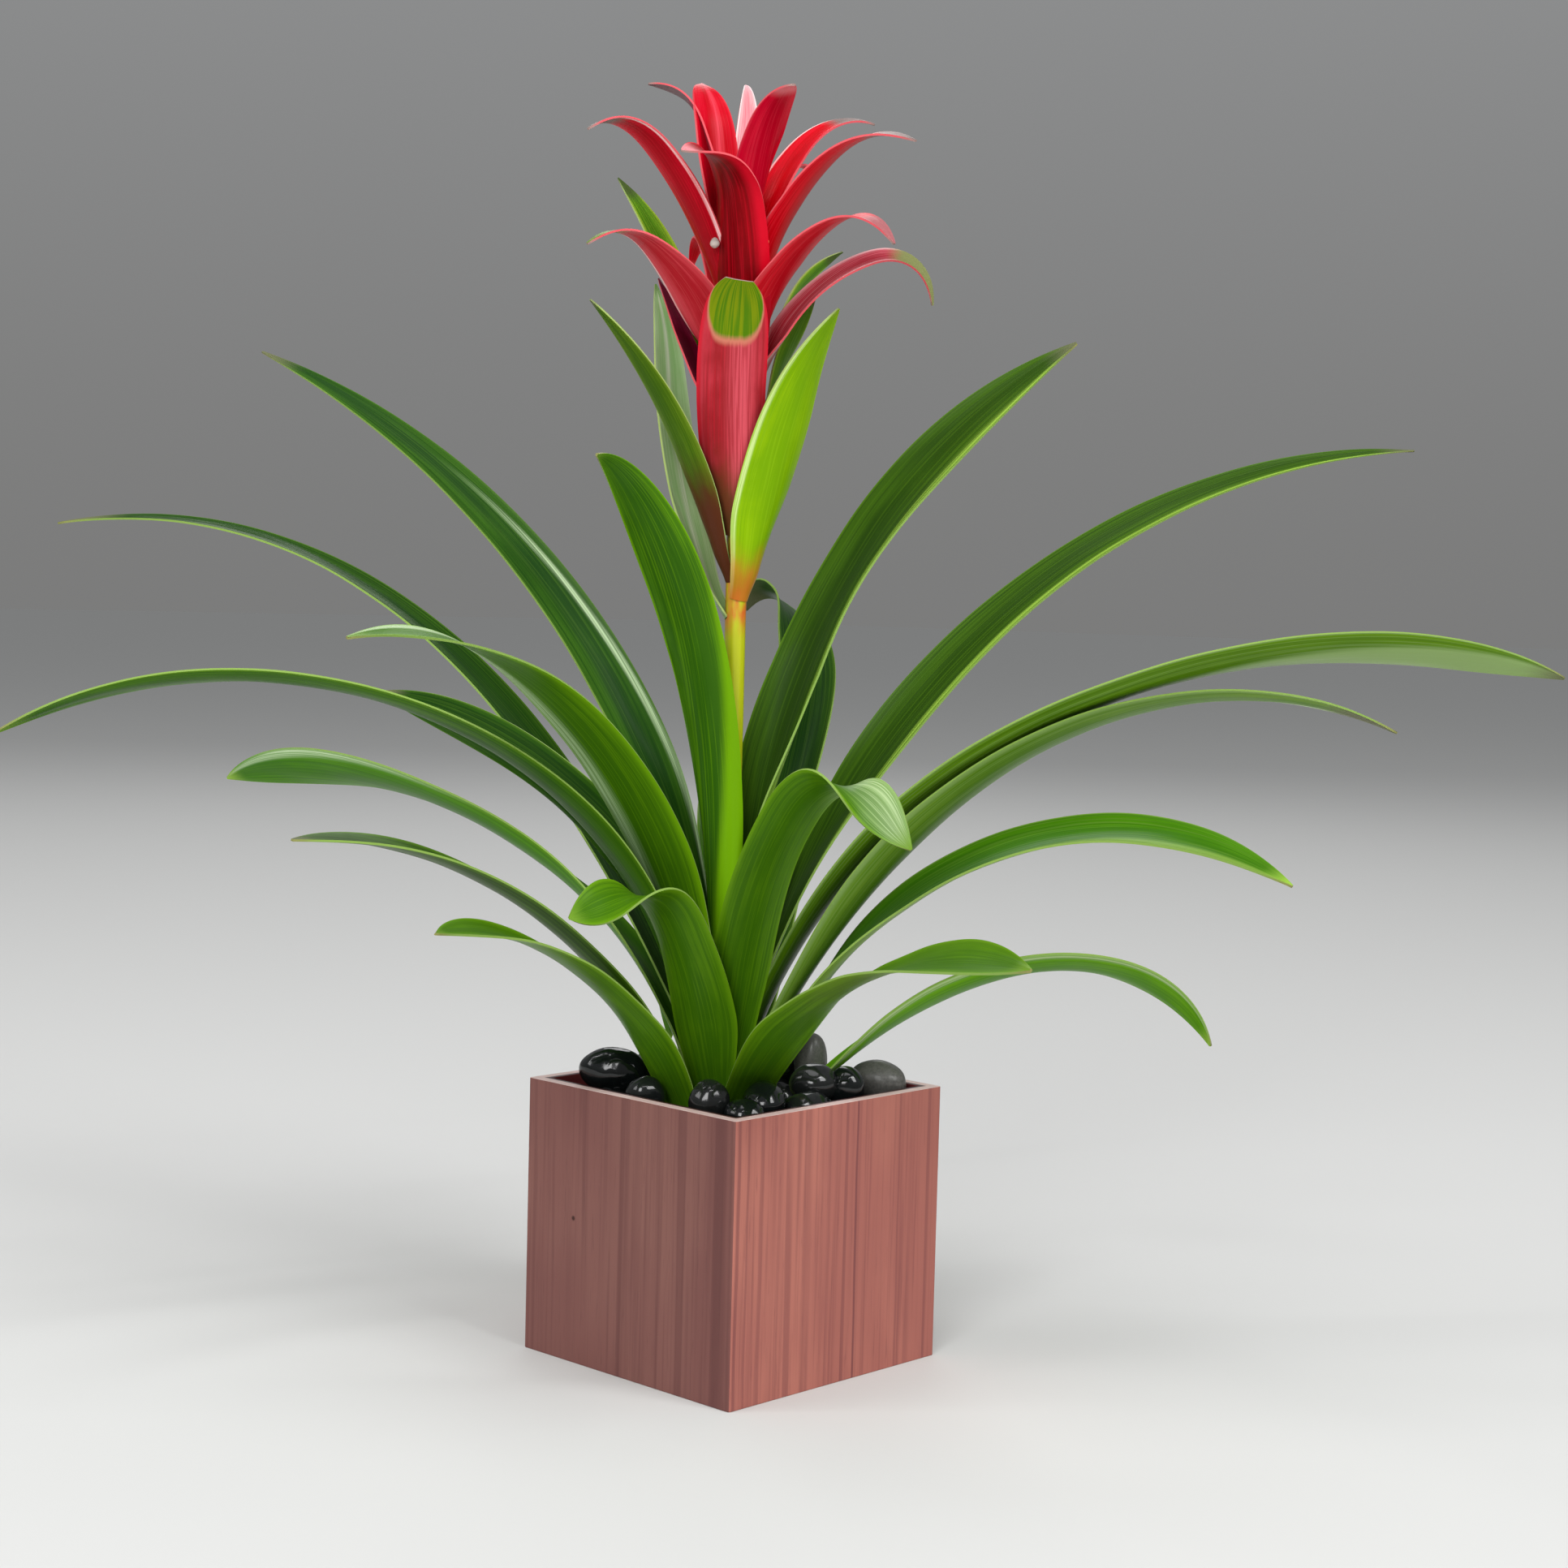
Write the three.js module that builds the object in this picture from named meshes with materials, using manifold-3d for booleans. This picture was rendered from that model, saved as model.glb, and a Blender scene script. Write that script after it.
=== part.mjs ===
// Potted bromeliad: a rosette of arching leaves round one upright stem with red bracts at its top,
// in a square wooden planter filled with soil and covered with dark pebbles.
// Millimetres, Z up. The origin is the middle of the planter's underside, X and Y square to its sides.
import * as THREE from "three";
import { mergeVertices } from "three/addons/utils/BufferGeometryUtils.js";
import Module from "manifold-3d";

const solids = await Module();
solids.setup();

// Planter, liner and soil
const planterWidth = 128;
const planterHeight = 120;
const wallThickness = 7;
const cornerRadius = 1.5;
const cornerSides = 4;
const floorThickness = 8;
const linerThickness = 1.2;
const soilTop = 98;
const clearance = 0.3;
const roundSides = 32;

// Pebbles: half sizes from short to long, how far up they are heaped, and how deep neighbours sink
// into each other, which joins them into one body
const pebbleSizes = { length: [11, 15], breadth: [9, 12], depth: [8, 10] };
const pebbleTilt = 14;
const heapTop = 134;
const pebbleJoin = { least: 3, most: 6.5 };
const pebbleGap = 1.6;
const pebbleSides = { round: 8, high: 5 };
const dropStep = 0.5;
const pebbleDraws = 4000;
const pebbleSeed = 476728;

// Plant: its stem stands a little beside the middle, and the whole plant is turned in the planter
const plantTurn = 43.8;
const stemOffset = -5;
const crownFoot = 80;
const leafRing = { low: { radius: 24, height: 100 }, high: { radius: 7, height: 158 } };
const stemRadius = 4.6;
const stemFoot = 146;
const stemTop = 388;
const headTop = 505;
const headCore = { low: 4.8, middle: 8, top: 3, middleAt: 0.4 };

// Blades: thickness in the middle and at the edges, and how many strips they are split into. Widths
// are shares of a blade's width, and places along a blade run from 0 at its foot to 1 at its tip.
const leafBlade = { middle: 1.2, edge: 0.7, along: 12, across: 4 };
const bractBlade = { middle: 1.1, edge: 0.7, along: 9, across: 4 };
const headBlade = { middle: 1.1, edge: 0.7, along: 8, across: 3 };
const footWidth = 0.62;
const fullWidthAt = 0.3;
const tipWidth = 0.03;
const channelRadius = 0.9;
const leastSlope = 0.15;
const leanSpan = [0.08, 0.4];
const twistSpan = [0.5, 1];

const leafGreen = new THREE.MeshStandardMaterial({ color: 0x3c7a1e, roughness: 0.35 });
const bractLime = new THREE.MeshStandardMaterial({ color: 0x96c310, roughness: 0.4 });
const bractGreen = new THREE.MeshStandardMaterial({ color: 0x4f7d2c, roughness: 0.4 });
const bractRed = new THREE.MeshStandardMaterial({ color: 0xc01030, roughness: 0.4 });
const stemYellow = new THREE.MeshStandardMaterial({ color: 0xb8b41c, roughness: 0.45 });
const crownGreen = new THREE.MeshStandardMaterial({ color: 0x5a6b2a, roughness: 0.7 });
const veneer = new THREE.MeshStandardMaterial({ color: 0x9a5c50, roughness: 0.55 });
const board = new THREE.MeshStandardMaterial({ color: 0x8a6a52, roughness: 0.8 });
const linerBlack = new THREE.MeshStandardMaterial({ color: 0x151515, roughness: 0.6 });
const soilBrown = new THREE.MeshStandardMaterial({ color: 0x2c2018, roughness: 1 });
const pebbleBlack = new THREE.MeshStandardMaterial({ color: 0x141618, roughness: 0.15 });

const radians = THREE.MathUtils.degToRad;

const planter = new THREE.Group();
const plant = new THREE.Group();
plant.rotation.z = radians(plantTurn);
planter.add(plant);

function addPiece(group, name, geometry, material) {
  const mesh = new THREE.Mesh(geometry, material);
  mesh.name = name;
  group.add(mesh);
  return mesh;
}

// three.js geometry of a manifold-3d solid
function geometryOf(solid) {
  const mesh = solid.getMesh();
  const geometry = new THREE.BufferGeometry();
  geometry.setAttribute("position", new THREE.BufferAttribute(mesh.vertProperties, 3));
  geometry.setIndex(new THREE.BufferAttribute(mesh.triVerts, 1));
  geometry.computeVertexNormals();
  return geometry;
}

// manifold-3d solid of a three.js geometry, for joining and cutting
function solidOf(geometry) {
  const bare = new THREE.BufferGeometry();
  bare.setAttribute("position", geometry.getAttribute("position"));
  bare.setIndex(geometry.index);
  const merged = mergeVertices(bare, 1e-4);
  return new solids.Manifold(
    new solids.Mesh({
      numProp: 3,
      vertProperties: merged.attributes.position.array,
      triVerts: new Uint32Array(merged.index.array),
    }),
  );
}

// Joins parts into one body, fills the hollows that this seals and drops loose scraps
function fused(parts) {
  const shells = solids.Manifold.union(parts).decompose();
  return shells.reduce((largest, shell) => (shell.volume() > largest.volume() ? shell : largest));
}

// Square post with round corners, from one height to another
function squarePost(width, low, high) {
  const corner = width / 2 - cornerRadius;
  const outline = new THREE.Shape();
  outline.absarc(corner, corner, cornerRadius, 0, Math.PI / 2);
  outline.absarc(-corner, corner, cornerRadius, Math.PI / 2, Math.PI);
  outline.absarc(-corner, -corner, cornerRadius, Math.PI, 1.5 * Math.PI);
  outline.absarc(corner, -corner, cornerRadius, 1.5 * Math.PI, 2 * Math.PI);
  const settings = { depth: high - low, bevelEnabled: false, curveSegments: cornerSides };
  return new THREE.ExtrudeGeometry(outline, settings).translate(0, 0, low);
}

// Round piece on the stem's axis, from a profile of [radius, height] that starts and ends on the axis
function turned(profile) {
  const points = profile.map(([radius, height]) => new THREE.Vector2(radius, height));
  return new THREE.LatheGeometry(points, roundSides).rotateX(Math.PI / 2).translate(stemOffset, 0, 0);
}

// Direction of a blade at t, from 0 at its foot to 1 at its tip: elevation and azimuth in radians
function heading(blade, t) {
  const [azimuth, sweep] = blade.azimuth;
  const [droop, late] = blade.droop;
  const [curl, from, to] = blade.curl ?? [0, 0, 1];
  const bend = droop * t ** late + curl * THREE.MathUtils.smoothstep(t, from, to);
  return {
    elevation: radians(blade.rise - bend),
    azimuth: radians(azimuth + sweep * t * t),
  };
}

// How far a blade's face has rolled over at t, in radians
function rollAt(blade, t) {
  const [lean, twist] = blade.roll;
  const [fold, from, to] = blade.fold ?? [0, 0, 1];
  const { smoothstep } = THREE.MathUtils;
  const slow = lean * smoothstep(t, ...leanSpan) + twist * smoothstep(t, ...twistSpan);
  return radians(slow + fold * smoothstep(t, from, to));
}

// Points down the middle of a blade, which starts on a ring round the stem
function middleLine(blade, count) {
  const steps = 20;
  const [radius, height] = blade.foot;
  const start = heading(blade, 0).azimuth;
  const point = new THREE.Vector3(
    stemOffset + radius * Math.cos(start),
    radius * Math.sin(start),
    height,
  );
  const points = [point.clone()];
  const stride = blade.length / (count * steps);
  for (let i = 0; i < count * steps; i++) {
    const { elevation, azimuth } = heading(blade, (i + 0.5) / (count * steps));
    point.x += stride * Math.cos(elevation) * Math.cos(azimuth);
    point.y += stride * Math.cos(elevation) * Math.sin(azimuth);
    point.z += stride * Math.sin(elevation);
    if ((i + 1) % steps === 0) points.push(point.clone());
  }
  return points;
}

// Half the width of a blade at t: narrow at its foot, full from a third on, and drawn in to its tip
function halfWidth(blade, t) {
  const foot = THREE.MathUtils.lerp(footWidth, 1, THREE.MathUtils.smoothstep(t, 0, fullWidthAt));
  const tip = THREE.MathUtils.lerp(1, blade.blunt ?? tipWidth, t ** blade.taper);
  return (blade.width / 2) * foot * tip;
}

// Closed solid of a leaf or bract. Each cross-section is an arc that wraps the stem at the foot and
// opens to a shallow channel further out, and both faces are split into triangles alike.
function bladeGeometry(blade, { middle, edge, along, across }) {
  const upper = [];
  const lower = [];
  for (const { place, normal, side } of bladeGrid(blade, along, across)) {
    const half = normal.multiplyScalar((edge + (middle - edge) * (1 - side * side)) / 2);
    upper.push(place.clone().add(half));
    lower.push(place.clone().sub(half));
  }
  return closedSheet(upper, lower, along + 1, across + 1);
}

// Points on the middle surface of a blade, row by row from its foot, with their normals.
// side runs from -1 to 1 across the blade.
function bladeGrid(blade, along, across) {
  return middleLine(blade, along).flatMap((point, row) => {
    const t = row / along;
    const { elevation, azimuth } = heading(blade, t);
    const sideways = new THREE.Vector3(-Math.sin(azimuth), Math.cos(azimuth), 0);
    const upwards = new THREE.Vector3(
      -Math.sin(elevation) * Math.cos(azimuth),
      -Math.sin(elevation) * Math.sin(azimuth),
      Math.cos(elevation),
    );
    const roll = rollAt(blade, t);
    const span = sideways.clone().multiplyScalar(Math.cos(roll)).addScaledVector(upwards, Math.sin(roll));
    const face = upwards.clone().multiplyScalar(Math.cos(roll)).addScaledVector(sideways, -Math.sin(roll));
    const reach = Math.hypot(point.x - stemOffset, point.y);
    const wrap = reach / Math.max(Math.sin(elevation), leastSlope);
    const radius = Math.min(wrap, channelRadius * blade.width);
    return Array.from({ length: across + 1 }, (_, column) => {
      const side = (2 * column) / across - 1;
      const angle = (side * halfWidth(blade, t)) / radius;
      const place = point
        .clone()
        .addScaledVector(span, radius * Math.sin(angle))
        .addScaledVector(face, radius * (1 - Math.cos(angle)));
      const normal = face.clone().multiplyScalar(Math.cos(angle)).addScaledVector(span, -Math.sin(angle));
      return { place, normal, side };
    });
  });
}

// Points on the low parts of the leaves and on the crown, which the pebbles keep clear of
function lowPlantPoints() {
  const top = heapTop + 2 * pebbleGap;
  const steps = { along: 60, across: 8, up: 3, round: 10 };
  const points = leaves.flatMap((leaf, i) =>
    bladeGrid(placedLeaf(i), steps.along, steps.across).map(({ place }) => place),
  );
  for (let height = soilTop; height < top; height += steps.up) {
    const inwards = Math.max(0, (height - leafRing.low.height) / (crownHeight - leafRing.low.height));
    const radius = THREE.MathUtils.lerp(crownRadius, crownTopRadius, inwards);
    for (let angle = 0; angle < 360; angle += steps.round) {
      const x = stemOffset + radius * Math.cos(radians(angle));
      points.push(new THREE.Vector3(x, radius * Math.sin(radians(angle)), height));
    }
  }
  return points
    .filter((point) => point.z < top)
    .map((point) => point.applyAxisAngle(vertical, radians(plantTurn)));
}

// Even random numbers from 0 to 1, the same at every run
function seededRandom(seed) {
  let state = seed;
  return () => {
    state = (state * 16807) % 2147483647;
    return state / 2147483647;
  };
}

// A pebble: an egg with three half sizes, tilted about its length and spun about the vertical
function pebbleAt(half, tilt, spin) {
  const turn = new THREE.Matrix4().makeRotationZ(radians(spin));
  turn.multiply(new THREE.Matrix4().makeRotationX(radians(tilt)));
  return { half: new THREE.Vector3(...half), turn, back: turn.clone().invert(), centre: new THREE.Vector3() };
}

// Distance from a pebble's centre to its surface in a direction
function reach(pebble, direction) {
  return 1 / direction.clone().applyMatrix4(pebble.back).divide(pebble.half).length();
}

// How deep two pebbles sink into each other between their centres, below zero when they are apart
function sunk(one, other) {
  const line = other.centre.clone().sub(one.centre);
  const apart = line.length();
  line.divideScalar(apart);
  return reach(one, line) + reach(other, line) - apart;
}

function deepest(pebble) {
  return Math.max(...pebbles.map((other) => sunk(pebble, other)));
}

function clearOfPlant(pebble) {
  const grown = pebble.half.clone().addScalar(pebbleGap);
  return plantPoints.every(
    (point) => point.clone().sub(pebble.centre).applyMatrix4(pebble.back).divide(grown).lengthSq() > 1,
  );
}

// Draws a pebble somewhere between the planter's walls, lying on the soil
function drawnPebble() {
  const between = ([low, high]) => low + (high - low) * random();
  const half = [pebbleSizes.length, pebbleSizes.breadth, pebbleSizes.depth].map(between);
  const pebble = pebbleAt(half, between([-pebbleTilt, pebbleTilt]), between([0, 180]));
  const rows = pebble.turn.clone().transpose();
  const spread = [0, 1, 2].map((axis) => {
    const row = new THREE.Vector3().setFromMatrixColumn(rows, axis);
    return row.multiply(pebble.half).length();
  });
  const room = insideWidth / 2 - clearance;
  pebble.centre.set(
    between([spread[0] - room, room - spread[0]]),
    between([spread[1] - room, room - spread[1]]),
    soilTop + clearance + spread[2],
  );
  pebble.rise = spread[2];
  return pebble;
}

// A leaf with its place on the ring round the crown, further in and higher up for each next leaf
function placedLeaf(i) {
  const inwards = i / (leaves.length - 1);
  const foot = [
    THREE.MathUtils.lerp(leafRing.low.radius, leafRing.high.radius, inwards),
    THREE.MathUtils.lerp(leafRing.low.height, leafRing.high.height, inwards),
  ];
  return { ...leaves[i], foot };
}

// Joins two like grids of points, face to face, into one closed body
function closedSheet(upper, lower, rows, columns) {
  const under = rows * columns;
  const faces = [];
  const quad = (a, b, c, d) => faces.push(a, b, d, a, d, c);
  for (let row = 0; row + 1 < rows; row++) {
    for (let column = 0; column + 1 < columns; column++) {
      const a = row * columns + column;
      const b = a + 1;
      const c = a + columns;
      const d = c + 1;
      faces.push(a, d, b, a, c, d);
      faces.push(a + under, b + under, d + under, a + under, d + under, c + under);
    }
    const left = row * columns;
    const right = left + columns - 1;
    quad(left, left + under, left + columns, left + columns + under);
    quad(right, right + columns, right + under, right + columns + under);
  }
  for (let column = 0; column + 1 < columns; column++) {
    const near = column;
    const far = under - columns + column;
    quad(near, near + 1, near + under, near + 1 + under);
    quad(far, far + under, far + 1, far + 1 + under);
  }
  const geometry = new THREE.BufferGeometry();
  geometry.setAttribute(
    "position",
    new THREE.Float32BufferAttribute([...upper, ...lower].flatMap((v) => v.toArray()), 3),
  );
  geometry.setIndex(faces);
  geometry.computeVertexNormals();
  return geometry;
}

// Planter: a veneered box without a lid, and its floor board, level with the walls' lower edges
const insideWidth = planterWidth - 2 * wallThickness;
const walls = solidOf(squarePost(planterWidth, 0, planterHeight)).subtract(
  solidOf(squarePost(insideWidth, -1, planterHeight + 1)),
);
addPiece(planter, "planter_walls", geometryOf(walls), veneer);
const boardWidth = insideWidth - 2 * clearance;
addPiece(planter, "planter_floor", squarePost(boardWidth, 0, floorThickness), board);

// Waterproof liner, an open tray that stands on the floor board
const linerLow = floorThickness + clearance;
const linerInside = boardWidth - 2 * linerThickness;
const liner = solidOf(squarePost(boardWidth, linerLow, soilTop)).subtract(
  solidOf(squarePost(linerInside, linerLow + linerThickness, soilTop + 1)),
);
addPiece(planter, "planter_liner", geometryOf(liner), linerBlack);

// Crown: the short stem that carries the leaves. Its foot stands in a plain hole in the soil,
// it tapers inside the ring where the leaves start, and the flower stem stands in a hole in its top.
// The leaves' strips are flat, so the innermost ones get a little more room.
const flatStripGap = 0.55;
const crownGap = leafBlade.middle / 2 + clearance;
const crownRadius = leafRing.low.radius - crownGap;
const crownTopRadius = leafRing.high.radius - crownGap - flatStripGap;
const crownHeight = leafRing.high.height + 1;
const stemHole = stemRadius + clearance;
const crownProfile = [
  [0, crownFoot],
  [crownRadius, crownFoot],
  [crownRadius, leafRing.low.height],
  [crownTopRadius, crownHeight],
  [stemHole, crownHeight],
  [stemHole, stemFoot - clearance],
  [0, stemFoot - clearance],
];
addPiece(plant, "crown", turned(crownProfile), crownGreen);

// Soil, a block that fills the liner round the foot of the crown
const soilLow = linerLow + linerThickness + clearance;
const holeRadius = crownRadius + clearance;
const holeLow = crownFoot - clearance;
const hole = turned([
  [0, holeLow],
  [holeRadius, holeLow],
  [holeRadius, soilTop + 1],
  [0, soilTop + 1],
]).rotateZ(radians(plantTurn));
const soil = solidOf(squarePost(linerInside - 2 * clearance, soilLow, soilTop)).subtract(solidOf(hole));
addPiece(planter, "potting_soil", geometryOf(soil), soilBrown);

// Leaves, from the outermost at the foot of the rosette to the innermost beside the flower stem.
// Angles are in degrees. azimuth: where the blade points, and how far it has turned at its tip.
// rise: its slope at the foot. droop: how far it has bent down at its tip, and how late.
// roll: how far its face rolls over in its first and second half. taper: blunt tips have a high one.
// curl: the angle of a sharp bend, and where along the blade it starts and ends. fold: how far the
// face turns over there, and from where to where. blunt: the width left at the tip, as a share.
const leaves = [
  { azimuth: [229, 28], rise: 73, droop: [73, 0.7], roll: [-12, -10], length: 220, width: 32, taper: 4 },
  { azimuth: [-1, 33], rise: 45, droop: [102, 1.8], roll: [-23, 0], length: 235, width: 30, taper: 4.5 },
  { azimuth: [102, -9], rise: 55, droop: [104, 0.9], roll: [4, 0], length: 200, width: 31, taper: 3 },
  { azimuth: [210, 25], rise: 68, droop: [68, 0.95], roll: [-8, 0], length: 245, width: 35, taper: 6 },
  { azimuth: [292, 0], rise: 51, droop: [49, 0.6], roll: [14, 20], length: 290, width: 35, taper: 5.5 },
  { azimuth: [78, 5], rise: 66, droop: [58, 0.7], roll: [-4, 0], length: 230, width: 31, taper: 3 },
  {
    azimuth: [257.5, -64], rise: 62, droop: [14, 1.5], roll: [-1, 30],
    length: 150, width: 30, taper: 12, curl: [69, 0.615, 0.895], fold: [-89, 0.705, 1],
  },
  { azimuth: [343, -28], rise: 69, droop: [94, 1.1], roll: [24, 0], length: 290, width: 31, taper: 5.5 },
  { azimuth: [100, -5], rise: 68, droop: [140, 1], roll: [0, 0], length: 240, width: 31, taper: 1.6 },
  { azimuth: [165, -36], rise: 85, droop: [98, 0.6], roll: [23, 30], length: 320, width: 35, taper: 6 },
  {
    azimuth: [277.5, 60], rise: 62, droop: [22, 1], roll: [-5, -37],
    length: 220, width: 26.5, taper: 12, curl: [87, 0.66, 0.95], fold: [119, 0.75, 0.98],
  },
  { azimuth: [210, -40], rise: 84, droop: [111, 0.9], roll: [5, 15], length: 385, width: 28, taper: 5 },
  { azimuth: [339, 32], rise: 61.5, droop: [86, 1.64], roll: [-15, 1], length: 344, width: 36, taper: 3 },
  { azimuth: [92, 0], rise: 70, droop: [123, 1.15], roll: [-4, 0], length: 260, width: 32, taper: 3 },
  { azimuth: [157, 28], rise: 61, droop: [73, 1.85], roll: [-14, -5], length: 410, width: 26, taper: 2.6 },
  { azimuth: [-22, 39], rise: 73, droop: [86, 0.84], roll: [-11, -26], length: 419, width: 36, taper: 7 },
  { azimuth: [226, 15], rise: 76, droop: [86, 1.3], roll: [17, -50], length: 305, width: 33, taper: 2.5 },
  { azimuth: [181, -34], rise: 81, droop: [73, 0.9], roll: [56, 25], length: 225, width: 28, taper: 5 },
  { azimuth: [16, 2], rise: 74, droop: [72, 1.1], roll: [40, 15], length: 440, width: 30, taper: 1.6 },
  { azimuth: [95, -5], rise: 73, droop: [130, 1], roll: [3, 0], length: 270, width: 28, taper: 1.6 },
  { azimuth: [157, 3], rise: 88, droop: [66, 0.8], roll: [-44, 0], length: 390, width: 26, taper: 3 },
  {
    azimuth: [44, 108], rise: 76, droop: [54, 1.84], roll: [0, 19],
    length: 236, width: 28, taper: 11, curl: [96, 0.9, 1], fold: [18, 0.76, 0.88],
  },
  { azimuth: [20, -30], rise: 89, droop: [57, 1.3], roll: [22, 46], length: 337, width: 38, taper: 4.5 },
  { azimuth: [220, 31], rise: 88, droop: [81, 2.75], roll: [18, 50], length: 270, width: 29, taper: 6 },
];
leaves.forEach((leaf, i) => {
  const name = "leaf_" + String(i + 1).padStart(2, "0");
  addPiece(plant, name, bladeGeometry(placedLeaf(i), leafBlade), leafGreen);
});

// Flower stem, up to where the flower head starts
const stem = turned([
  [0, stemFoot],
  [stemRadius, stemFoot],
  [stemRadius, stemTop],
  [0, stemTop],
]);
addPiece(plant, "flower_stem", stem, stemYellow);

// Green bracts that clasp the stem below the head, lowest first. foot: radius and height on the stem.
const stemBracts = [
  {
    foot: [6.1, 330], azimuth: [326, -2], rise: 77, droop: [26, 3.1], roll: [-16, 15],
    length: 132, width: 32, taper: 4.5,
  },
  {
    foot: [5.9, 338], azimuth: [213, 10], rise: 73, droop: [38, 1.5], roll: [12, -5],
    length: 138, width: 17, taper: 3,
  },
  {
    foot: [5.9, 322], azimuth: [161, -14], rise: 64, droop: [-30, 1], roll: [-24, -10],
    length: 150, width: 21, taper: 4.5, curl: [20, 0.7, 1],
  },
  {
    foot: [5.9, 352], azimuth: [28, -38], rise: 86, droop: [28, 1.9], roll: [-10, -45],
    length: 114, width: 17, taper: 4.5,
  },
  {
    foot: [6.4, 382], azimuth: [58, -32], rise: 88, droop: [48, 1], roll: [-32, -30],
    length: 122, width: 16, taper: 3.5, curl: [10, 0.7, 1],
  },
  {
    foot: [6.2, 381], azimuth: [149, -4], rise: 79, droop: [30, 1.3], roll: [-24, -5],
    length: 150, width: 16, taper: 4.5, curl: [5, 0.7, 1],
  },
];
stemBracts.forEach((bract, i) => {
  addPiece(plant, "stem_bract_" + (i + 1), bladeGeometry(bract, bractBlade), i ? bractGreen : bractLime);
});

// Flower head: red bracts in layers round a core, all grown together. The first bract starts
// below the core and runs up in front of it.
const headBracts = [
  {
    foot: [6.2, 358], azimuth: [260, 27], rise: 73.5, droop: [0, 1], roll: [10.5, -26],
    length: 110.5, width: 31, taper: 12, blunt: 0.38, curl: [14, 0.8, 1],
  },
  {
    foot: [5, 394], azimuth: [-5, 10], rise: 88, droop: [104, 1.35], roll: [31, 20],
    length: 143, width: 22, taper: 2, curl: [70, 0.7, 1],
  },
  {
    foot: [5, 398], azimuth: [173, -22], rise: 65, droop: [-4, 3.1], roll: [-28, -15],
    length: 78, width: 18, taper: 1.5, curl: [10, 0.7, 1],
  },
  {
    foot: [5, 402], azimuth: [214, -2], rise: 86, droop: [68, 1], roll: [16, -20],
    length: 122, width: 34, taper: 2, curl: [55, 0.7, 1],
  },
  {
    foot: [5, 404], azimuth: [326, -4], rise: 89, droop: [106, 1.6], roll: [8, 5],
    length: 136, width: 35, taper: 2.2, curl: [40, 0.7, 1],
  },
  {
    foot: [5, 408], azimuth: [114, -4], rise: 86, droop: [92, 1.7], roll: [0, 0],
    length: 124, width: 24, taper: 2.5, curl: [60, 0.7, 1],
  },
  {
    foot: [5, 410], azimuth: [259, -44.5], rise: 80, droop: [0, 4], roll: [-10, -8],
    length: 128, width: 31, taper: 11, curl: [90, 0.67, 1],
  },
  {
    foot: [5, 420], azimuth: [341, -12], rise: 89, droop: [82, 1.6], roll: [6, 10],
    length: 148, width: 31, taper: 4, curl: [30, 0.7, 1],
  },
  {
    foot: [5, 422], azimuth: [194, 40], rise: 86, droop: [68, 1.5], roll: [12, 0],
    length: 148, width: 21, taper: 4, curl: [50, 0.7, 1],
  },
  {
    foot: [5, 424], azimuth: [52, 6], rise: 88, droop: [60, 2.1], roll: [0, 0],
    length: 124, width: 22, taper: 2.5, curl: [50, 0.7, 1],
  },
  {
    foot: [5, 424], azimuth: [72, 4], rise: 86, droop: [96, 3.4], roll: [0, 0],
    length: 124, width: 24, taper: 2.5, curl: [55, 0.7, 1],
  },
  {
    foot: [5, 428], azimuth: [12, 16], rise: 89, droop: [92, 2.7], roll: [28, -5],
    length: 140, width: 28, taper: 2, curl: [10, 0.7, 1],
  },
  {
    foot: [5, 430], azimuth: [144, 6], rise: 89, droop: [38, 1.6], roll: [18, 5],
    length: 144, width: 25, taper: 3.5, curl: [40, 0.7, 1],
  },
  {
    foot: [5, 428], azimuth: [300, -12], rise: 89, droop: [96, 3.5], roll: [24, -15],
    length: 136, width: 26, taper: 6,
  },
  {
    foot: [5, 432], azimuth: [153, -60], rise: 82.7, droop: [2, 1.3], roll: [-2, 8],
    length: 137, width: 25, taper: 5.5, curl: [62, 0.7, 1],
  },
  {
    foot: [5, 438], azimuth: [90, 4], rise: 78, droop: [62, 1.7], roll: [0, 5],
    length: 170, width: 22, taper: 1.5, curl: [5, 0.7, 1],
  },
];
const headFoot = stemTop + clearance;
const core = turned([
  [0, headFoot],
  [headCore.low, headFoot],
  [headCore.middle, THREE.MathUtils.lerp(headFoot, headTop, headCore.middleAt)],
  [headCore.top, headTop],
  [0, headTop],
]);
const head = fused([core, ...headBracts.map((bract) => bladeGeometry(bract, headBlade))].map(solidOf));
addPiece(plant, "flower_head", geometryOf(head), bractRed);

// Pebbles on the soil. The first ones lie where they show, seen from the planter's front edge;
// at: across, away from the viewer, and up. Then a layer is drawn on the soil, each next pebble
// beside an earlier one, and more are dropped on it until the heap is full.
const vertical = new THREE.Vector3(0, 0, 1);
const random = seededRandom(pebbleSeed);
const plantPoints = lowPlantPoints();
const shownPebbles = [
  { at: [-53, -8, 125], half: [15.5, 10, 10.5], tilt: 8, spin: -4 },
  { at: [-38, -29, 118], half: [9, 7.5, 9], tilt: 10, spin: 20 },
  { at: [-10, -52, 120], half: [9, 8.5, 10.5], tilt: 0, spin: 30 },
  { at: [5, -63, 117], half: [9, 8, 7.5], tilt: 6, spin: 0 },
  { at: [31, -37, 116], half: [12, 8, 7.5], tilt: 0, spin: 40 },
  { at: [34, -22, 124], half: [11, 9, 9], tilt: 10, spin: 10 },
  { at: [48, -18, 122], half: [8.5, 8.5, 9.5], tilt: 0, spin: 50 },
  { at: [62, 3, 121], half: [13.5, 9.5, 10], tilt: 12, spin: -20 },
  { at: [33, 17, 127], half: [7.5, 8.5, 13.5], tilt: 8, spin: 10 },
];
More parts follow.
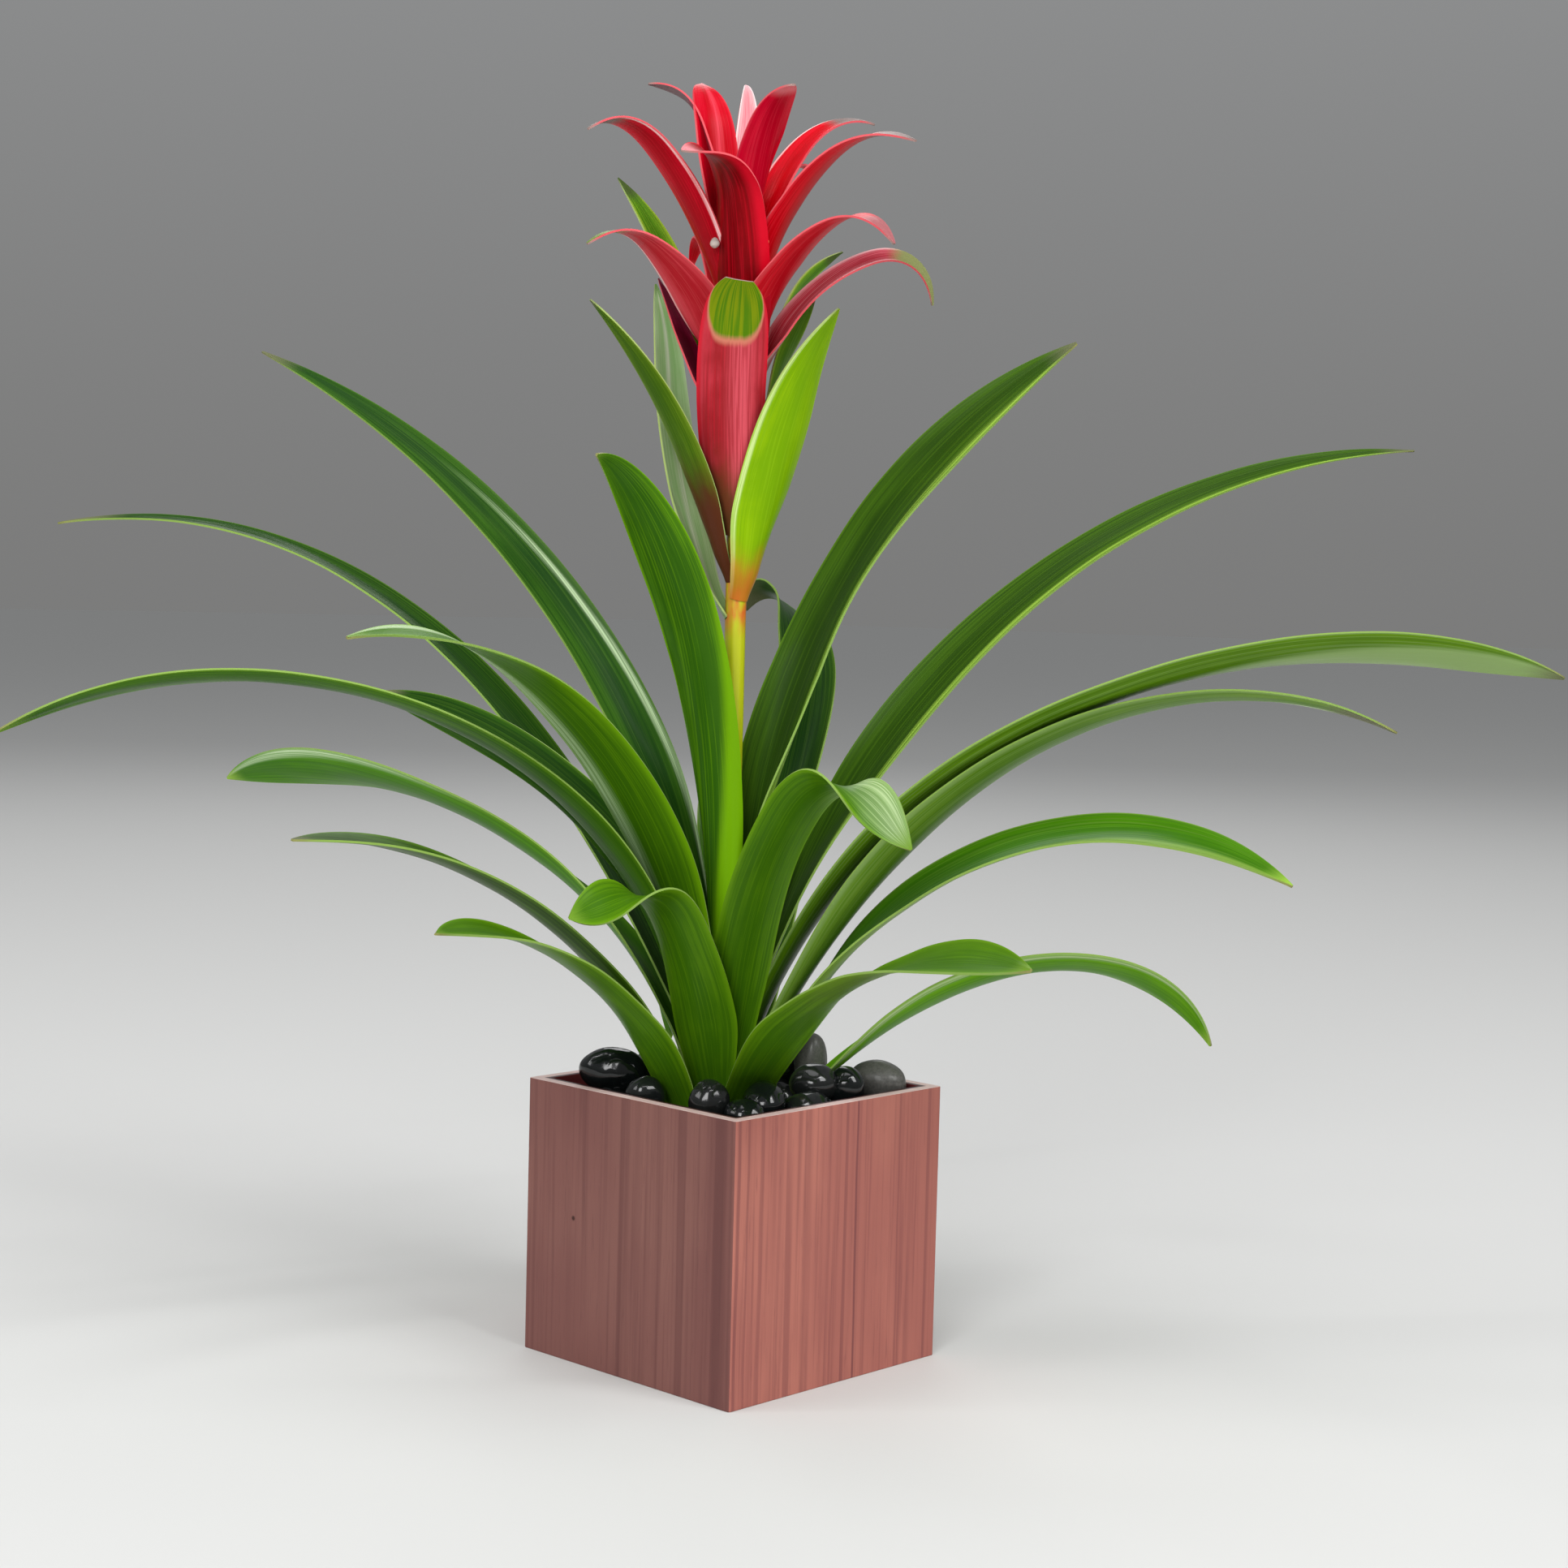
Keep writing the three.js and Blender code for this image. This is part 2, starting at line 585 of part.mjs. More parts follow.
const pebbles = shownPebbles.map(({ at, half, tilt, spin }) => {
  const pebble = pebbleAt(half, tilt, spin + plantTurn);
  pebble.centre.set(...at).applyAxisAngle(vertical, radians(plantTurn));
  return pebble;
});
for (let draw = 0; draw < pebbleDraws; draw++) {
  const pebble = drawnPebble();
  const join = deepest(pebble);
  if (join > pebbleJoin.least && join < pebbleJoin.most && clearOfPlant(pebble)) pebbles.push(pebble);
}
for (let draw = 0; draw < pebbleDraws; draw++) {
  const pebble = drawnPebble();
  const lying = pebble.centre.z;
  pebble.centre.z = heapTop - pebble.rise;
  if (deepest(pebble) > 0) continue;
  while (pebble.centre.z > lying && deepest(pebble) < pebbleJoin.least) pebble.centre.z -= dropStep;
  if (pebble.centre.z > lying && clearOfPlant(pebble)) pebbles.push(pebble);
}
const heap = pebbles.map(({ half, turn, centre }) =>
  new THREE.SphereGeometry(1, pebbleSides.round, pebbleSides.high)
    .rotateX(Math.PI / 2)
    .scale(...half)
    .applyMatrix4(turn)
    .translate(...centre),
);
addPiece(planter, "pebbles", geometryOf(fused(heap.map(solidOf))), pebbleBlack);

export default planter;
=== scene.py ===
import math

import bmesh
import bpy
from mathutils import Matrix, Vector, noise


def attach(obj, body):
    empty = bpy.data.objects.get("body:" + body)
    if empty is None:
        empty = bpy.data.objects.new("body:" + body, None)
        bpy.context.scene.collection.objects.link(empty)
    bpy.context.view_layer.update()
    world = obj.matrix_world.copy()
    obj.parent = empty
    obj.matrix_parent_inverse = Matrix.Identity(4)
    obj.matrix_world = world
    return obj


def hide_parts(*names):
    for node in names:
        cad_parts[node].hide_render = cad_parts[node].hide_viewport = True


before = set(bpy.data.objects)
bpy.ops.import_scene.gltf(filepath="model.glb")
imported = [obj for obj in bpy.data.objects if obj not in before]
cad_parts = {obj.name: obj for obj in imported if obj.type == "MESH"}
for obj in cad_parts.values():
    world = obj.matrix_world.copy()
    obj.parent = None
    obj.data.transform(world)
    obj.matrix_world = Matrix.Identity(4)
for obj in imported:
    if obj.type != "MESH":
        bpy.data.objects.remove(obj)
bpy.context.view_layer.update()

mm = 0.001

# Camera: it stands level with the middle of the plant, faces the planter's near edge, looks slightly
# down and is tilted slightly round its own axis.
camera_place = Vector((812.9, -822.8, 329.9)) * mm
camera_azimuth = math.radians(43.77)
camera_elevation = math.radians(3.89)
camera_roll = math.radians(1.48)


def outwards(azimuth, elevation):
    level = math.cos(elevation)
    return Vector((math.sin(azimuth) * level, -math.cos(azimuth) * level, math.sin(elevation)))


camera_back = outwards(camera_azimuth, camera_elevation)
level_right = Vector((math.cos(camera_azimuth), math.sin(camera_azimuth), 0))
level_up = camera_back.cross(level_right)
camera_right = level_right * math.cos(camera_roll) + level_up * math.sin(camera_roll)
camera_up = level_up * math.cos(camera_roll) - level_right * math.sin(camera_roll)

camera_data = bpy.data.cameras.new("camera")
camera_data.lens = 61.19
camera_data.sensor_width = 36
camera_data.clip_start = 0.05
camera_data.clip_end = 100
camera = bpy.data.objects.new("camera", camera_data)
camera_turn = Matrix((camera_right, camera_up, camera_back)).transposed()
camera.matrix_world = Matrix.Translation(camera_place) @ camera_turn.to_4x4()
bpy.context.scene.collection.objects.link(camera)
bpy.context.scene.camera = camera
bpy.context.scene.view_settings.view_transform = "Standard"

# Light and floor: large soft lamps above, in front, to the right and to the left, a weak one behind and
# two narrow ones for the thin highlights. A plain pale floor lies under a pale surround that darkens
# towards the horizon.
def link_value(tree, socket, value):
    if isinstance(value, bpy.types.NodeSocket):
        tree.links.new(value, socket)
    else:
        socket.default_value = value


def mask_between(tree, value, start, end):
    node = tree.nodes.new("ShaderNodeMapRange")
    node.interpolation_type = "SMOOTHSTEP"
    link_value(tree, node.inputs["Value"], value)
    link_value(tree, node.inputs["From Min"], start)
    link_value(tree, node.inputs["From Max"], end)
    return node.outputs["Result"]


def mixed_colour(tree, mask, first, second):
    node = tree.nodes.new("ShaderNodeMix")
    node.data_type = "RGBA"
    link_value(tree, node.inputs["Factor"], mask)
    link_value(tree, node.inputs["A"], first)
    link_value(tree, node.inputs["B"], second)
    return node.outputs["Result"]


def split_vector(tree, vector):
    node = tree.nodes.new("ShaderNodeSeparateXYZ")
    tree.links.new(vector, node.inputs["Vector"])
    return node.outputs


horizon_span = (-0.03, 0.4)
horizon_gray = (0.2, 0.2, 0.198, 1)
sky_gray = (0.3, 0.305, 0.31, 1)
world = bpy.data.worlds.new("pale_surround")
world.use_nodes = True
sky = world.node_tree
sky_split = split_vector(sky, sky.nodes.new("ShaderNodeTexCoord").outputs["Generated"])
sky_colour = mixed_colour(sky, mask_between(sky, sky_split["Z"], *horizon_span), horizon_gray, sky_gray)
sky.links.new(sky_colour, sky.nodes["Background"].inputs["Color"])
bpy.context.scene.world = world

lamp_aim = Vector((0, 0, 0.28))


def soft_lamp(name, azimuth, elevation, distance, width, height, power):
    away = outwards(math.radians(azimuth), math.radians(elevation))
    data = bpy.data.lights.new(name, "AREA")
    data.shape = "RECTANGLE"
    data.size = width
    data.size_y = height
    data.energy = power
    lamp = bpy.data.objects.new(name, data)
    lamp.location = lamp_aim + away * distance
    lamp.rotation_mode = "QUATERNION"
    lamp.rotation_quaternion = away.to_track_quat("Z", "Y")
    bpy.context.scene.collection.objects.link(lamp)


soft_lamp("lamp_right", 95, 38, 3.4, 1.5, 1.5, 56)
soft_lamp("lamp_front", 28, 26, 3.4, 1.3, 1.3, 52)
soft_lamp("lamp_left", -25, 30, 3.6, 1.5, 1.5, 26)
soft_lamp("lamp_top", 40, 80, 3.2, 1.6, 1.6, 18)
soft_lamp("lamp_back", 225, 35, 3.6, 1.6, 1.2, 14)
soft_lamp("lamp_strip", 75, 48, 3.2, 2.4, 0.09, 12)
soft_lamp("lamp_strip_left", -35, 52, 3.2, 0.09, 2.2, 9)

floor_half_width = 30
floor_mesh = bmesh.new()
bmesh.ops.create_grid(floor_mesh, x_segments=1, y_segments=1, size=floor_half_width)
floor_data = bpy.data.meshes.new("floor")
floor_mesh.to_mesh(floor_data)
floor_mesh.free()
floor = bpy.data.objects.new("floor", floor_data)
bpy.context.scene.collection.objects.link(floor)
floor_paint = bpy.data.materials.new("pale_floor")
floor_paint.use_nodes = True
floor_shader = floor_paint.node_tree.nodes["Principled BSDF"]
floor_shader.inputs["Base Color"].default_value = (0.68, 0.68, 0.67, 1)
floor_shader.inputs["Roughness"].default_value = 1
floor_shader.inputs["Specular IOR Level"].default_value = 0
floor_data.materials.append(floor_paint)

# Planter walls: four boards mitred and glued into a box without a lid. Their outer faces carry a
# reddish wood veneer with upright grain, the faces turned along y a darker, duller copy of it as
# painted shade, and the top edges a pale edge strip whose inner part is painted near black as painted
# shade. The inside is stained.
planter_width = 128 * mm
planter_height = 120 * mm
wall_thickness = 7 * mm
corner_radius = 1.5 * mm
edge_softness = 0.35 * mm


def new_piece(name, bm, nodes):
    data = bpy.data.meshes.new(name)
    bm.to_mesh(data)
    bm.free()
    piece = bpy.data.objects.new(name, data)
    bpy.context.scene.collection.objects.link(piece)
    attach(piece, "root")
    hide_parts(*nodes)
    return piece


def smooth_faces(bm):
    for face in bm.faces:
        face.smooth = True


def square_loop(bm, width):
    made = bmesh.ops.create_circle(bm, segments=4, radius=width / math.sqrt(2))
    bmesh.ops.rotate(bm, verts=made["verts"], matrix=Matrix.Rotation(math.pi / 4, 3, "Z"))
    return list({edge for vert in made["verts"] for edge in vert.link_edges})


walls = bmesh.new()
outer_loop = square_loop(walls, planter_width)
inner_loop = square_loop(walls, planter_width - 2 * wall_thickness)
ring = bmesh.ops.bridge_loops(walls, edges=outer_loop + inner_loop)["faces"]
raised = bmesh.ops.extrude_face_region(walls, geom=ring)["geom"]
top_verts = [item for item in raised if isinstance(item, bmesh.types.BMVert)]
bmesh.ops.translate(walls, verts=top_verts, vec=(0, 0, planter_height))
bmesh.ops.recalc_face_normals(walls, faces=walls.faces)
upright_edges = [
    edge
    for edge in walls.edges
    if abs(edge.verts[0].co.z - edge.verts[1].co.z) > planter_height / 2
    and abs(edge.verts[0].co.x) > planter_width / 2 - mm
]
bmesh.ops.bevel(
    walls, geom=upright_edges, offset=corner_radius, affect="EDGES", segments=4, profile=0.5, material=-1
)
for face in walls.faces:
    outward = face.calc_center_median()
    outward.z = 0
    if face.normal.z > 0.5:
        face.material_index = 2
    elif face.normal.dot(outward) < 0:
        face.material_index = 3
    # Faces turned along x get the veneer, faces turned along y its darker copy as painted shade.
    elif abs(face.normal.x) > abs(face.normal.y):
        face.material_index = 0
    else:
        face.material_index = 1
planter = new_piece("planter_box", walls, ["planter_walls"])
soft_edges = planter.modifiers.new("soft_edges", "BEVEL")
soft_edges.width = edge_softness
soft_edges.segments = 2
soft_edges.limit_method = "ANGLE"
soft_edges.angle_limit = math.radians(40)


def new_group(name, inputs, outputs):
    group = bpy.data.node_groups.new(name, "ShaderNodeTree")
    for label, kind, value in inputs:
        socket = group.interface.new_socket(label, in_out="INPUT", socket_type=kind)
        socket.default_value = value
    for label, kind in outputs:
        group.interface.new_socket(label, in_out="OUTPUT", socket_type=kind)
    entry = group.nodes.new("NodeGroupInput")
    leave = group.nodes.new("NodeGroupOutput")
    return group, entry, leave


def math_node(tree, operation, first, second=0.0):
    node = tree.nodes.new("ShaderNodeMath")
    node.operation = operation
    link_value(tree, node.inputs[0], first)
    link_value(tree, node.inputs[1], second)
    return node.outputs[0]


def stretched_noise(tree, coordinates, scale, detail, shift=(0, 0, 0)):
    mapping = tree.nodes.new("ShaderNodeMapping")
    mapping.inputs["Location"].default_value = shift
    mapping.inputs["Scale"].default_value = scale
    texture = tree.nodes.new("ShaderNodeTexNoise")
    texture.inputs["Scale"].default_value = 1
    texture.inputs["Detail"].default_value = detail
    tree.links.new(coordinates, mapping.inputs["Vector"])
    tree.links.new(mapping.outputs["Vector"], texture.inputs["Vector"])
    return texture.outputs["Fac"]


def new_material(name, roughness, specular=0.5, coat=0.0):
    material = bpy.data.materials.new(name)
    material.use_nodes = True
    shader = material.node_tree.nodes["Principled BSDF"]
    shader.inputs["Roughness"].default_value = roughness
    shader.inputs["Specular IOR Level"].default_value = specular
    shader.inputs["Coat Weight"].default_value = coat
    shader.inputs["Coat Roughness"].default_value = 0.12
    return material, material.node_tree, shader


def object_place(tree):
    return tree.nodes.new("ShaderNodeTexCoord").outputs["Object"]


def paint(tree, shader, mask, first, second):
    tree.links.new(mixed_colour(tree, mask, first, second), shader.inputs["Base Color"])


def add_bump(tree, shader, height, distance, strength):
    bump = tree.nodes.new("ShaderNodeBump")
    bump.inputs["Strength"].default_value = strength
    bump.inputs["Distance"].default_value = distance
    tree.links.new(height, bump.inputs["Height"])
    tree.links.new(bump.outputs["Normal"], shader.inputs["Normal"])


def noisy_material(name, roughness, scale, detail, first, second, specular=0.5, bump=None):
    material, tree, shader = new_material(name, roughness, specular)
    texture = stretched_noise(tree, object_place(tree), scale, detail)
    paint(tree, shader, texture, first, second)
    if bump:
        distance, strength = bump
        add_bump(tree, shader, texture, distance * mm, strength)
    return material


def dress(piece, *materials):
    for material in materials:
        piece.data.materials.append(material)


grain_group, grain_in, grain_out = new_group(
    "upright_grain",
    [
        ("Wood", "NodeSocketColor", (0.3, 0.12, 0.09, 1)),
        ("Streak", "NodeSocketColor", (0.12, 0.04, 0.03, 1)),
        ("Pale", "NodeSocketColor", (0.42, 0.2, 0.15, 1)),
        ("Coordinates", "NodeSocketVector", (0, 0, 0)),
    ],
    [("Color", "NodeSocketColor"), ("Height", "NodeSocketFloat")],
)
grain_values = grain_in.outputs
grain_at = grain_values["Coordinates"]
bands = stretched_noise(grain_group, grain_at, (90, 90, 2), 2)
streaks = stretched_noise(grain_group, grain_at, (260, 260, 2.6), 3, (3, 1, 7))
bold_streaks = stretched_noise(grain_group, grain_at, (120, 120, 1.2), 2, (2, 7, 5))
fine_streaks = stretched_noise(grain_group, grain_at, (560, 560, 9), 3, (6, 2, 4))
pores = stretched_noise(grain_group, grain_at, (1600, 1600, 60), 2, (9, 4, 2))
drift = stretched_noise(grain_group, grain_at, (22, 22, 9), 2, (5, 8, 1))
pale_mask = mask_between(grain_group, drift, 0.35, 0.7)
wood_colour = mixed_colour(grain_group, pale_mask, grain_values["Wood"], grain_values["Pale"])
streak_mask = mask_between(grain_group, streaks, 0.46, 0.66)
band_mask = mask_between(grain_group, bands, 0.3, 0.62)
dark_streak = math_node(grain_group, "MULTIPLY", streak_mask, band_mask)
fine_dark = mask_between(grain_group, fine_streaks, 0.5, 0.72)
pore_mask = mask_between(grain_group, pores, 0.62, 0.74)
bold_streak = mask_between(grain_group, bold_streaks, 0.6, 0.66)
shares = ((dark_streak, 0.45), (fine_dark, 0.4), (pore_mask, 0.35), (bold_streak, 0.5))
for mask, share in shares:
    mask = math_node(grain_group, "MULTIPLY", mask, share)
    wood_colour = mixed_colour(grain_group, mask, wood_colour, grain_values["Streak"])
grain_group.links.new(wood_colour, grain_out.inputs["Color"])
grain_height = math_node(grain_group, "SUBTRACT", fine_streaks, pore_mask)
grain_group.links.new(grain_height, grain_out.inputs["Height"])


line_wander = 2.4
line_core = 0.3
knot_radii = (1.5, 0.5)
knot_brown = (0.05, 0.018, 0.014, 1)
strip_inner_edge = (58.8, 59.4)


def veneer(name, wood, streak, pale, shift, knot=None, lines=()):
    material, tree, shader = new_material(name, 0.5, 0.2)
    place = object_place(tree)
    mapping = tree.nodes.new("ShaderNodeMapping")
    mapping.inputs["Location"].default_value = shift
    tree.links.new(place, mapping.inputs["Vector"])
    grain = tree.nodes.new("ShaderNodeGroup")
    grain.node_tree = grain_group
    for label, value in (("Wood", wood), ("Streak", streak), ("Pale", pale)):
        grain.inputs[label].default_value = value
    tree.links.new(mapping.outputs["Vector"], grain.inputs["Coordinates"])
    colour = grain.outputs["Color"]
    split = split_vector(tree, place)
    bend = math_node(tree, "MULTIPLY", stretched_noise(tree, place, (9, 9, 14), 1), line_wander * mm)
    for line_at, line_half, share in lines:
        wandering = math_node(tree, "ADD", split["Y"], bend)
        off = math_node(tree, "SUBTRACT", wandering, (line_at + line_wander / 2) * mm)
        off = math_node(tree, "ABSOLUTE", off)
        line = mask_between(tree, off, line_half * mm, line_half * mm * line_core)
        colour = mixed_colour(tree, math_node(tree, "MULTIPLY", line, share), colour, streak)
    if knot:
        away = tree.nodes.new("ShaderNodeVectorMath")
        away.operation = "DISTANCE"
        away.inputs[1].default_value = knot
        tree.links.new(place, away.inputs[0])
        eye = mask_between(tree, away.outputs["Value"], knot_radii[0] * mm, knot_radii[1] * mm)
        colour = mixed_colour(tree, eye, colour, knot_brown)
    tree.links.new(colour, shader.inputs["Base Color"])
    add_bump(tree, shader, grain.outputs["Height"], 0.08 * mm, 0.5)
    return material


warm_veneer = veneer(
    "veneer_warm",
    (0.37, 0.125, 0.1, 1),
    (0.2, 0.062, 0.06, 1),
    (0.46, 0.165, 0.125, 1),
    (0.3, 0.1, 0),
    lines=(
        (-61.5, 1.4, 0.6), (-56, 1, 0.5), (-48, 1.6, 0.45), (-21, 2.6, 0.3), (10, 0.9, 0.85), (37, 1.1, 0.5),
    ),
)
# Painted shade: a darker, duller copy of the veneer for the two faces turned along y.
shaded_side_veneer = veneer(
    "veneer_shaded_side",
    (0.19, 0.076, 0.066, 1),
    (0.12, 0.044, 0.041, 1),
    (0.23, 0.1, 0.083, 1),
    (0.7, 0.5, 0.2),
    Vector((-33, -64, 63)) * mm,
)
edge_strip, edge_tree, edge_shader = new_material("edge_strip", 0.5)
edge_place = object_place(edge_tree)
edge_split = split_vector(edge_tree, edge_place)
from_middle_x = math_node(edge_tree, "ABSOLUTE", edge_split["X"])
from_middle_y = math_node(edge_tree, "ABSOLUTE", edge_split["Y"])
from_centre = math_node(edge_tree, "MAXIMUM", from_middle_x, from_middle_y)
strip_noise = stretched_noise(edge_tree, edge_place, (400, 400, 400), 3)
strip_colour = mixed_colour(edge_tree, strip_noise, (0.66, 0.42, 0.4, 1), (0.86, 0.66, 0.64, 1))
# Painted shade: the inner part of the top edge, beside the gap inside the rim, is painted near black; the
# outer part is the pale strip.
shade_to_strip_mask = mask_between(edge_tree, from_centre, strip_inner_edge[0] * mm, strip_inner_edge[1] * mm)
paint(edge_tree, edge_shader, shade_to_strip_mask, (0.05, 0.01, 0.011, 1), strip_colour)
inside_stain = noisy_material(
    "inside_stain", 0.55, (60, 60, 900), 3, (0.11, 0.012, 0.014, 1), (0.2, 0.03, 0.03, 1)
)
dress(planter, warm_veneer, shaded_side_veneer, edge_strip, inside_stain)

# Floor board: a plain board of pale, unstained wood. It lies between the walls, level with their
# lower edges, and the liner stands on it.
board_wood = noisy_material(
    "raw_board", 0.7, (18, 380, 380), 4, (0.27, 0.17, 0.1, 1), (0.42, 0.29, 0.18, 1), 0.3, (0.1, 0.6)
)


def finish_node(name, material):
    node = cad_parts[name]
    node.data.materials.clear()
    dress(node, material)


finish_node("planter_floor", board_wood)

# Liner: an open tray of thin black plastic. It stands on the floor board and keeps the wet soil off
# the boards.
liner_plastic = noisy_material(
    "liner_plastic", 0.5, (900, 900, 900), 2, (0.008, 0.008, 0.009, 1), (0.02, 0.02, 0.021, 1),
    bump=(0.05, 0.5),
)
finish_node("planter_liner", liner_plastic)

# Potting soil: dark, damp and crumbly. It fills the liner round the foot of the crown, and the pebbles
# cover it.
damp_soil = noisy_material(
    "damp_soil", 0.95, (420, 420, 420), 6, (0.01, 0.006, 0.004, 1), (0.07, 0.045, 0.028, 1), 0.2, (1.5, 0.8)
)
finish_node("potting_soil", damp_soil)

# Crown: the short fibrous stem that the leaves and the flower stem grow from. Its foot stands in a
# hole in the soil, and the leaves' feet stand round it.
crown_skin = noisy_material(
    "crown_skin", 0.65, (500, 500, 40), 4, (0.04, 0.06, 0.012, 1), (0.12, 0.16, 0.035, 1), bump=(0.4, 0.7)
)
finish_node("crown", crown_skin)

# Leaves: long straps that clasp the crown in a spiral and arch out, the outer ones lowest. Each is a
# sheet bent along its length and hollowed across it, then given its thickness.
plant_angle = 43.8
plant_turn = Matrix.Rotation(math.radians(plant_angle), 3, "Z")
stem_offset = -5
leaf_ring_low = (24, 100)
leaf_ring_high = (7, 158)
foot_width = 0.62
full_width_at = 0.3
tip_width = 0.03
channel_radius = 0.9
least_slope = 0.15
lean_span = (0.08, 0.4)
twist_span = (0.5, 1)
ripple_length = 35
ripple_across = 1.5
ripple_span = (0.1, 0.4)
sunk_span = (0, 0.1)


def smoothstep(value, start, end):
    share = min(max((value - start) / (end - start), 0), 1)
    return share * share * (3 - 2 * share)


def heading(blade, t):
    droop, late = blade["droop"]
    curl, start, end = blade.get("curl", (0, 0, 1))
    azimuth, sweep = blade["azimuth"]
    bend = droop * t**late + curl * smoothstep(t, start, end)
    return math.radians(blade["rise"] - bend), math.radians(azimuth + sweep * t * t)


def half_width(blade, t):
    foot = foot_width + (1 - foot_width) * smoothstep(t, 0, full_width_at)
    tip = 1 - (1 - blade.get("blunt", tip_width)) * t ** blade["taper"]
    return blade["width"] / 2 * foot * tip


def blade_rows(blade, rows):
    steps = 6
    radius, height = blade["foot"]
    start = heading(blade, 0)[1]
    point = Vector((stem_offset + radius * math.cos(start), radius * math.sin(start), height))
    stride = blade["length"] / (rows * steps)
    frames = []
    for row in range(rows + 1):
        t = row / rows
        elevation, azimuth = heading(blade, t)
        sideways = Vector((-math.sin(azimuth), math.cos(azimuth), 0))
        steep = -math.sin(elevation)
        upwards = Vector((steep * math.cos(azimuth), steep * math.sin(azimuth), math.cos(elevation)))
        lean, twist = blade["roll"]
        fold, start, end = blade.get("fold", (0, 0, 1))
        slow = lean * smoothstep(t, *lean_span) + twist * smoothstep(t, *twist_span)
        roll = math.radians(slow + fold * smoothstep(t, start, end))
        span = sideways * math.cos(roll) + upwards * math.sin(roll)
        face = upwards * math.cos(roll) - sideways * math.sin(roll)
        reach = math.hypot(point.x - stem_offset, point.y)
        wrap = reach / max(math.sin(elevation), least_slope)
        arc = min(wrap, channel_radius * blade["width"])
        frames.append((point.copy(), span, face, arc))
        for step in range(steps):
            elevation, azimuth = heading(blade, t + (step + 0.5) / (rows * steps))
            level = math.cos(elevation)
            forwards = Vector((level * math.cos(azimuth), level * math.sin(azimuth), math.sin(elevation)))
            point = point + stride * forwards
    return frames


def blade_point(blade, frames, row, rows, side):
    centre, span, face, arc = frames[row]
    angle = side * half_width(blade, row / rows) / arc
    return centre + span * arc * math.sin(angle) + face * arc * (1 - math.cos(angle))


def blade_sheet(name, blade, grid, nodes, thickness, ripple, sink=0.0):
    rows, columns = grid
    frames = blade_rows(blade, rows)
    bm = bmesh.new()
    uv = bm.loops.layers.uv.new("UVMap")
    bmesh.ops.create_grid(bm, x_segments=rows, y_segments=columns, size=0.5)
    for face in bm.faces:
        face.smooth = True
        for loop in face.loops:
            loop[uv].uv = (loop.vert.co.x + 0.5, loop.vert.co.y + 0.5)
    for vert in bm.verts:
        row = round((vert.co.x + 0.5) * rows)
        side = 2 * vert.co.y
        t = row / rows
        wave_at = (t * blade["length"] / ripple_length, side * ripple_across, blade["azimuth"][0])
        wave = noise.noise(Vector(wave_at))
        place = blade_point(blade, frames, row, rows, side)
        place += frames[row][2] * wave * ripple * smoothstep(t, *ripple_span)
        spoke = Vector((place.x - stem_offset, place.y, 0)).normalized()
        place -= spoke * sink * (1 - smoothstep(t, *sunk_span))
        vert.co = plant_turn @ place * mm
    bm.normal_update()
    middle_face = frames[rows // 2][2]
    middle_at = plant_turn @ frames[rows // 2][0] * mm
    middle = min(bm.faces, key=lambda f: (f.calc_center_median() - middle_at).length)
    if middle.normal.dot(plant_turn @ middle_face) < 0:
        bmesh.ops.reverse_faces(bm, faces=bm.faces)
    for edge in bm.edges:
        edge.smooth = not edge.is_boundary
    piece = new_piece(name, bm, nodes)
    sheet = piece.modifiers.new("thickness", "SOLIDIFY")
    sheet.thickness = thickness * mm
    sheet.offset = 0
    sheet.material_offset = 1
    sheet.material_offset_rim = 2
    return piece


def mark_seed(piece, value):
    layer = piece.data.attributes.new("seed", "FLOAT", "POINT")
    layer.data.foreach_set("value", [value] * len(piece.data.vertices))


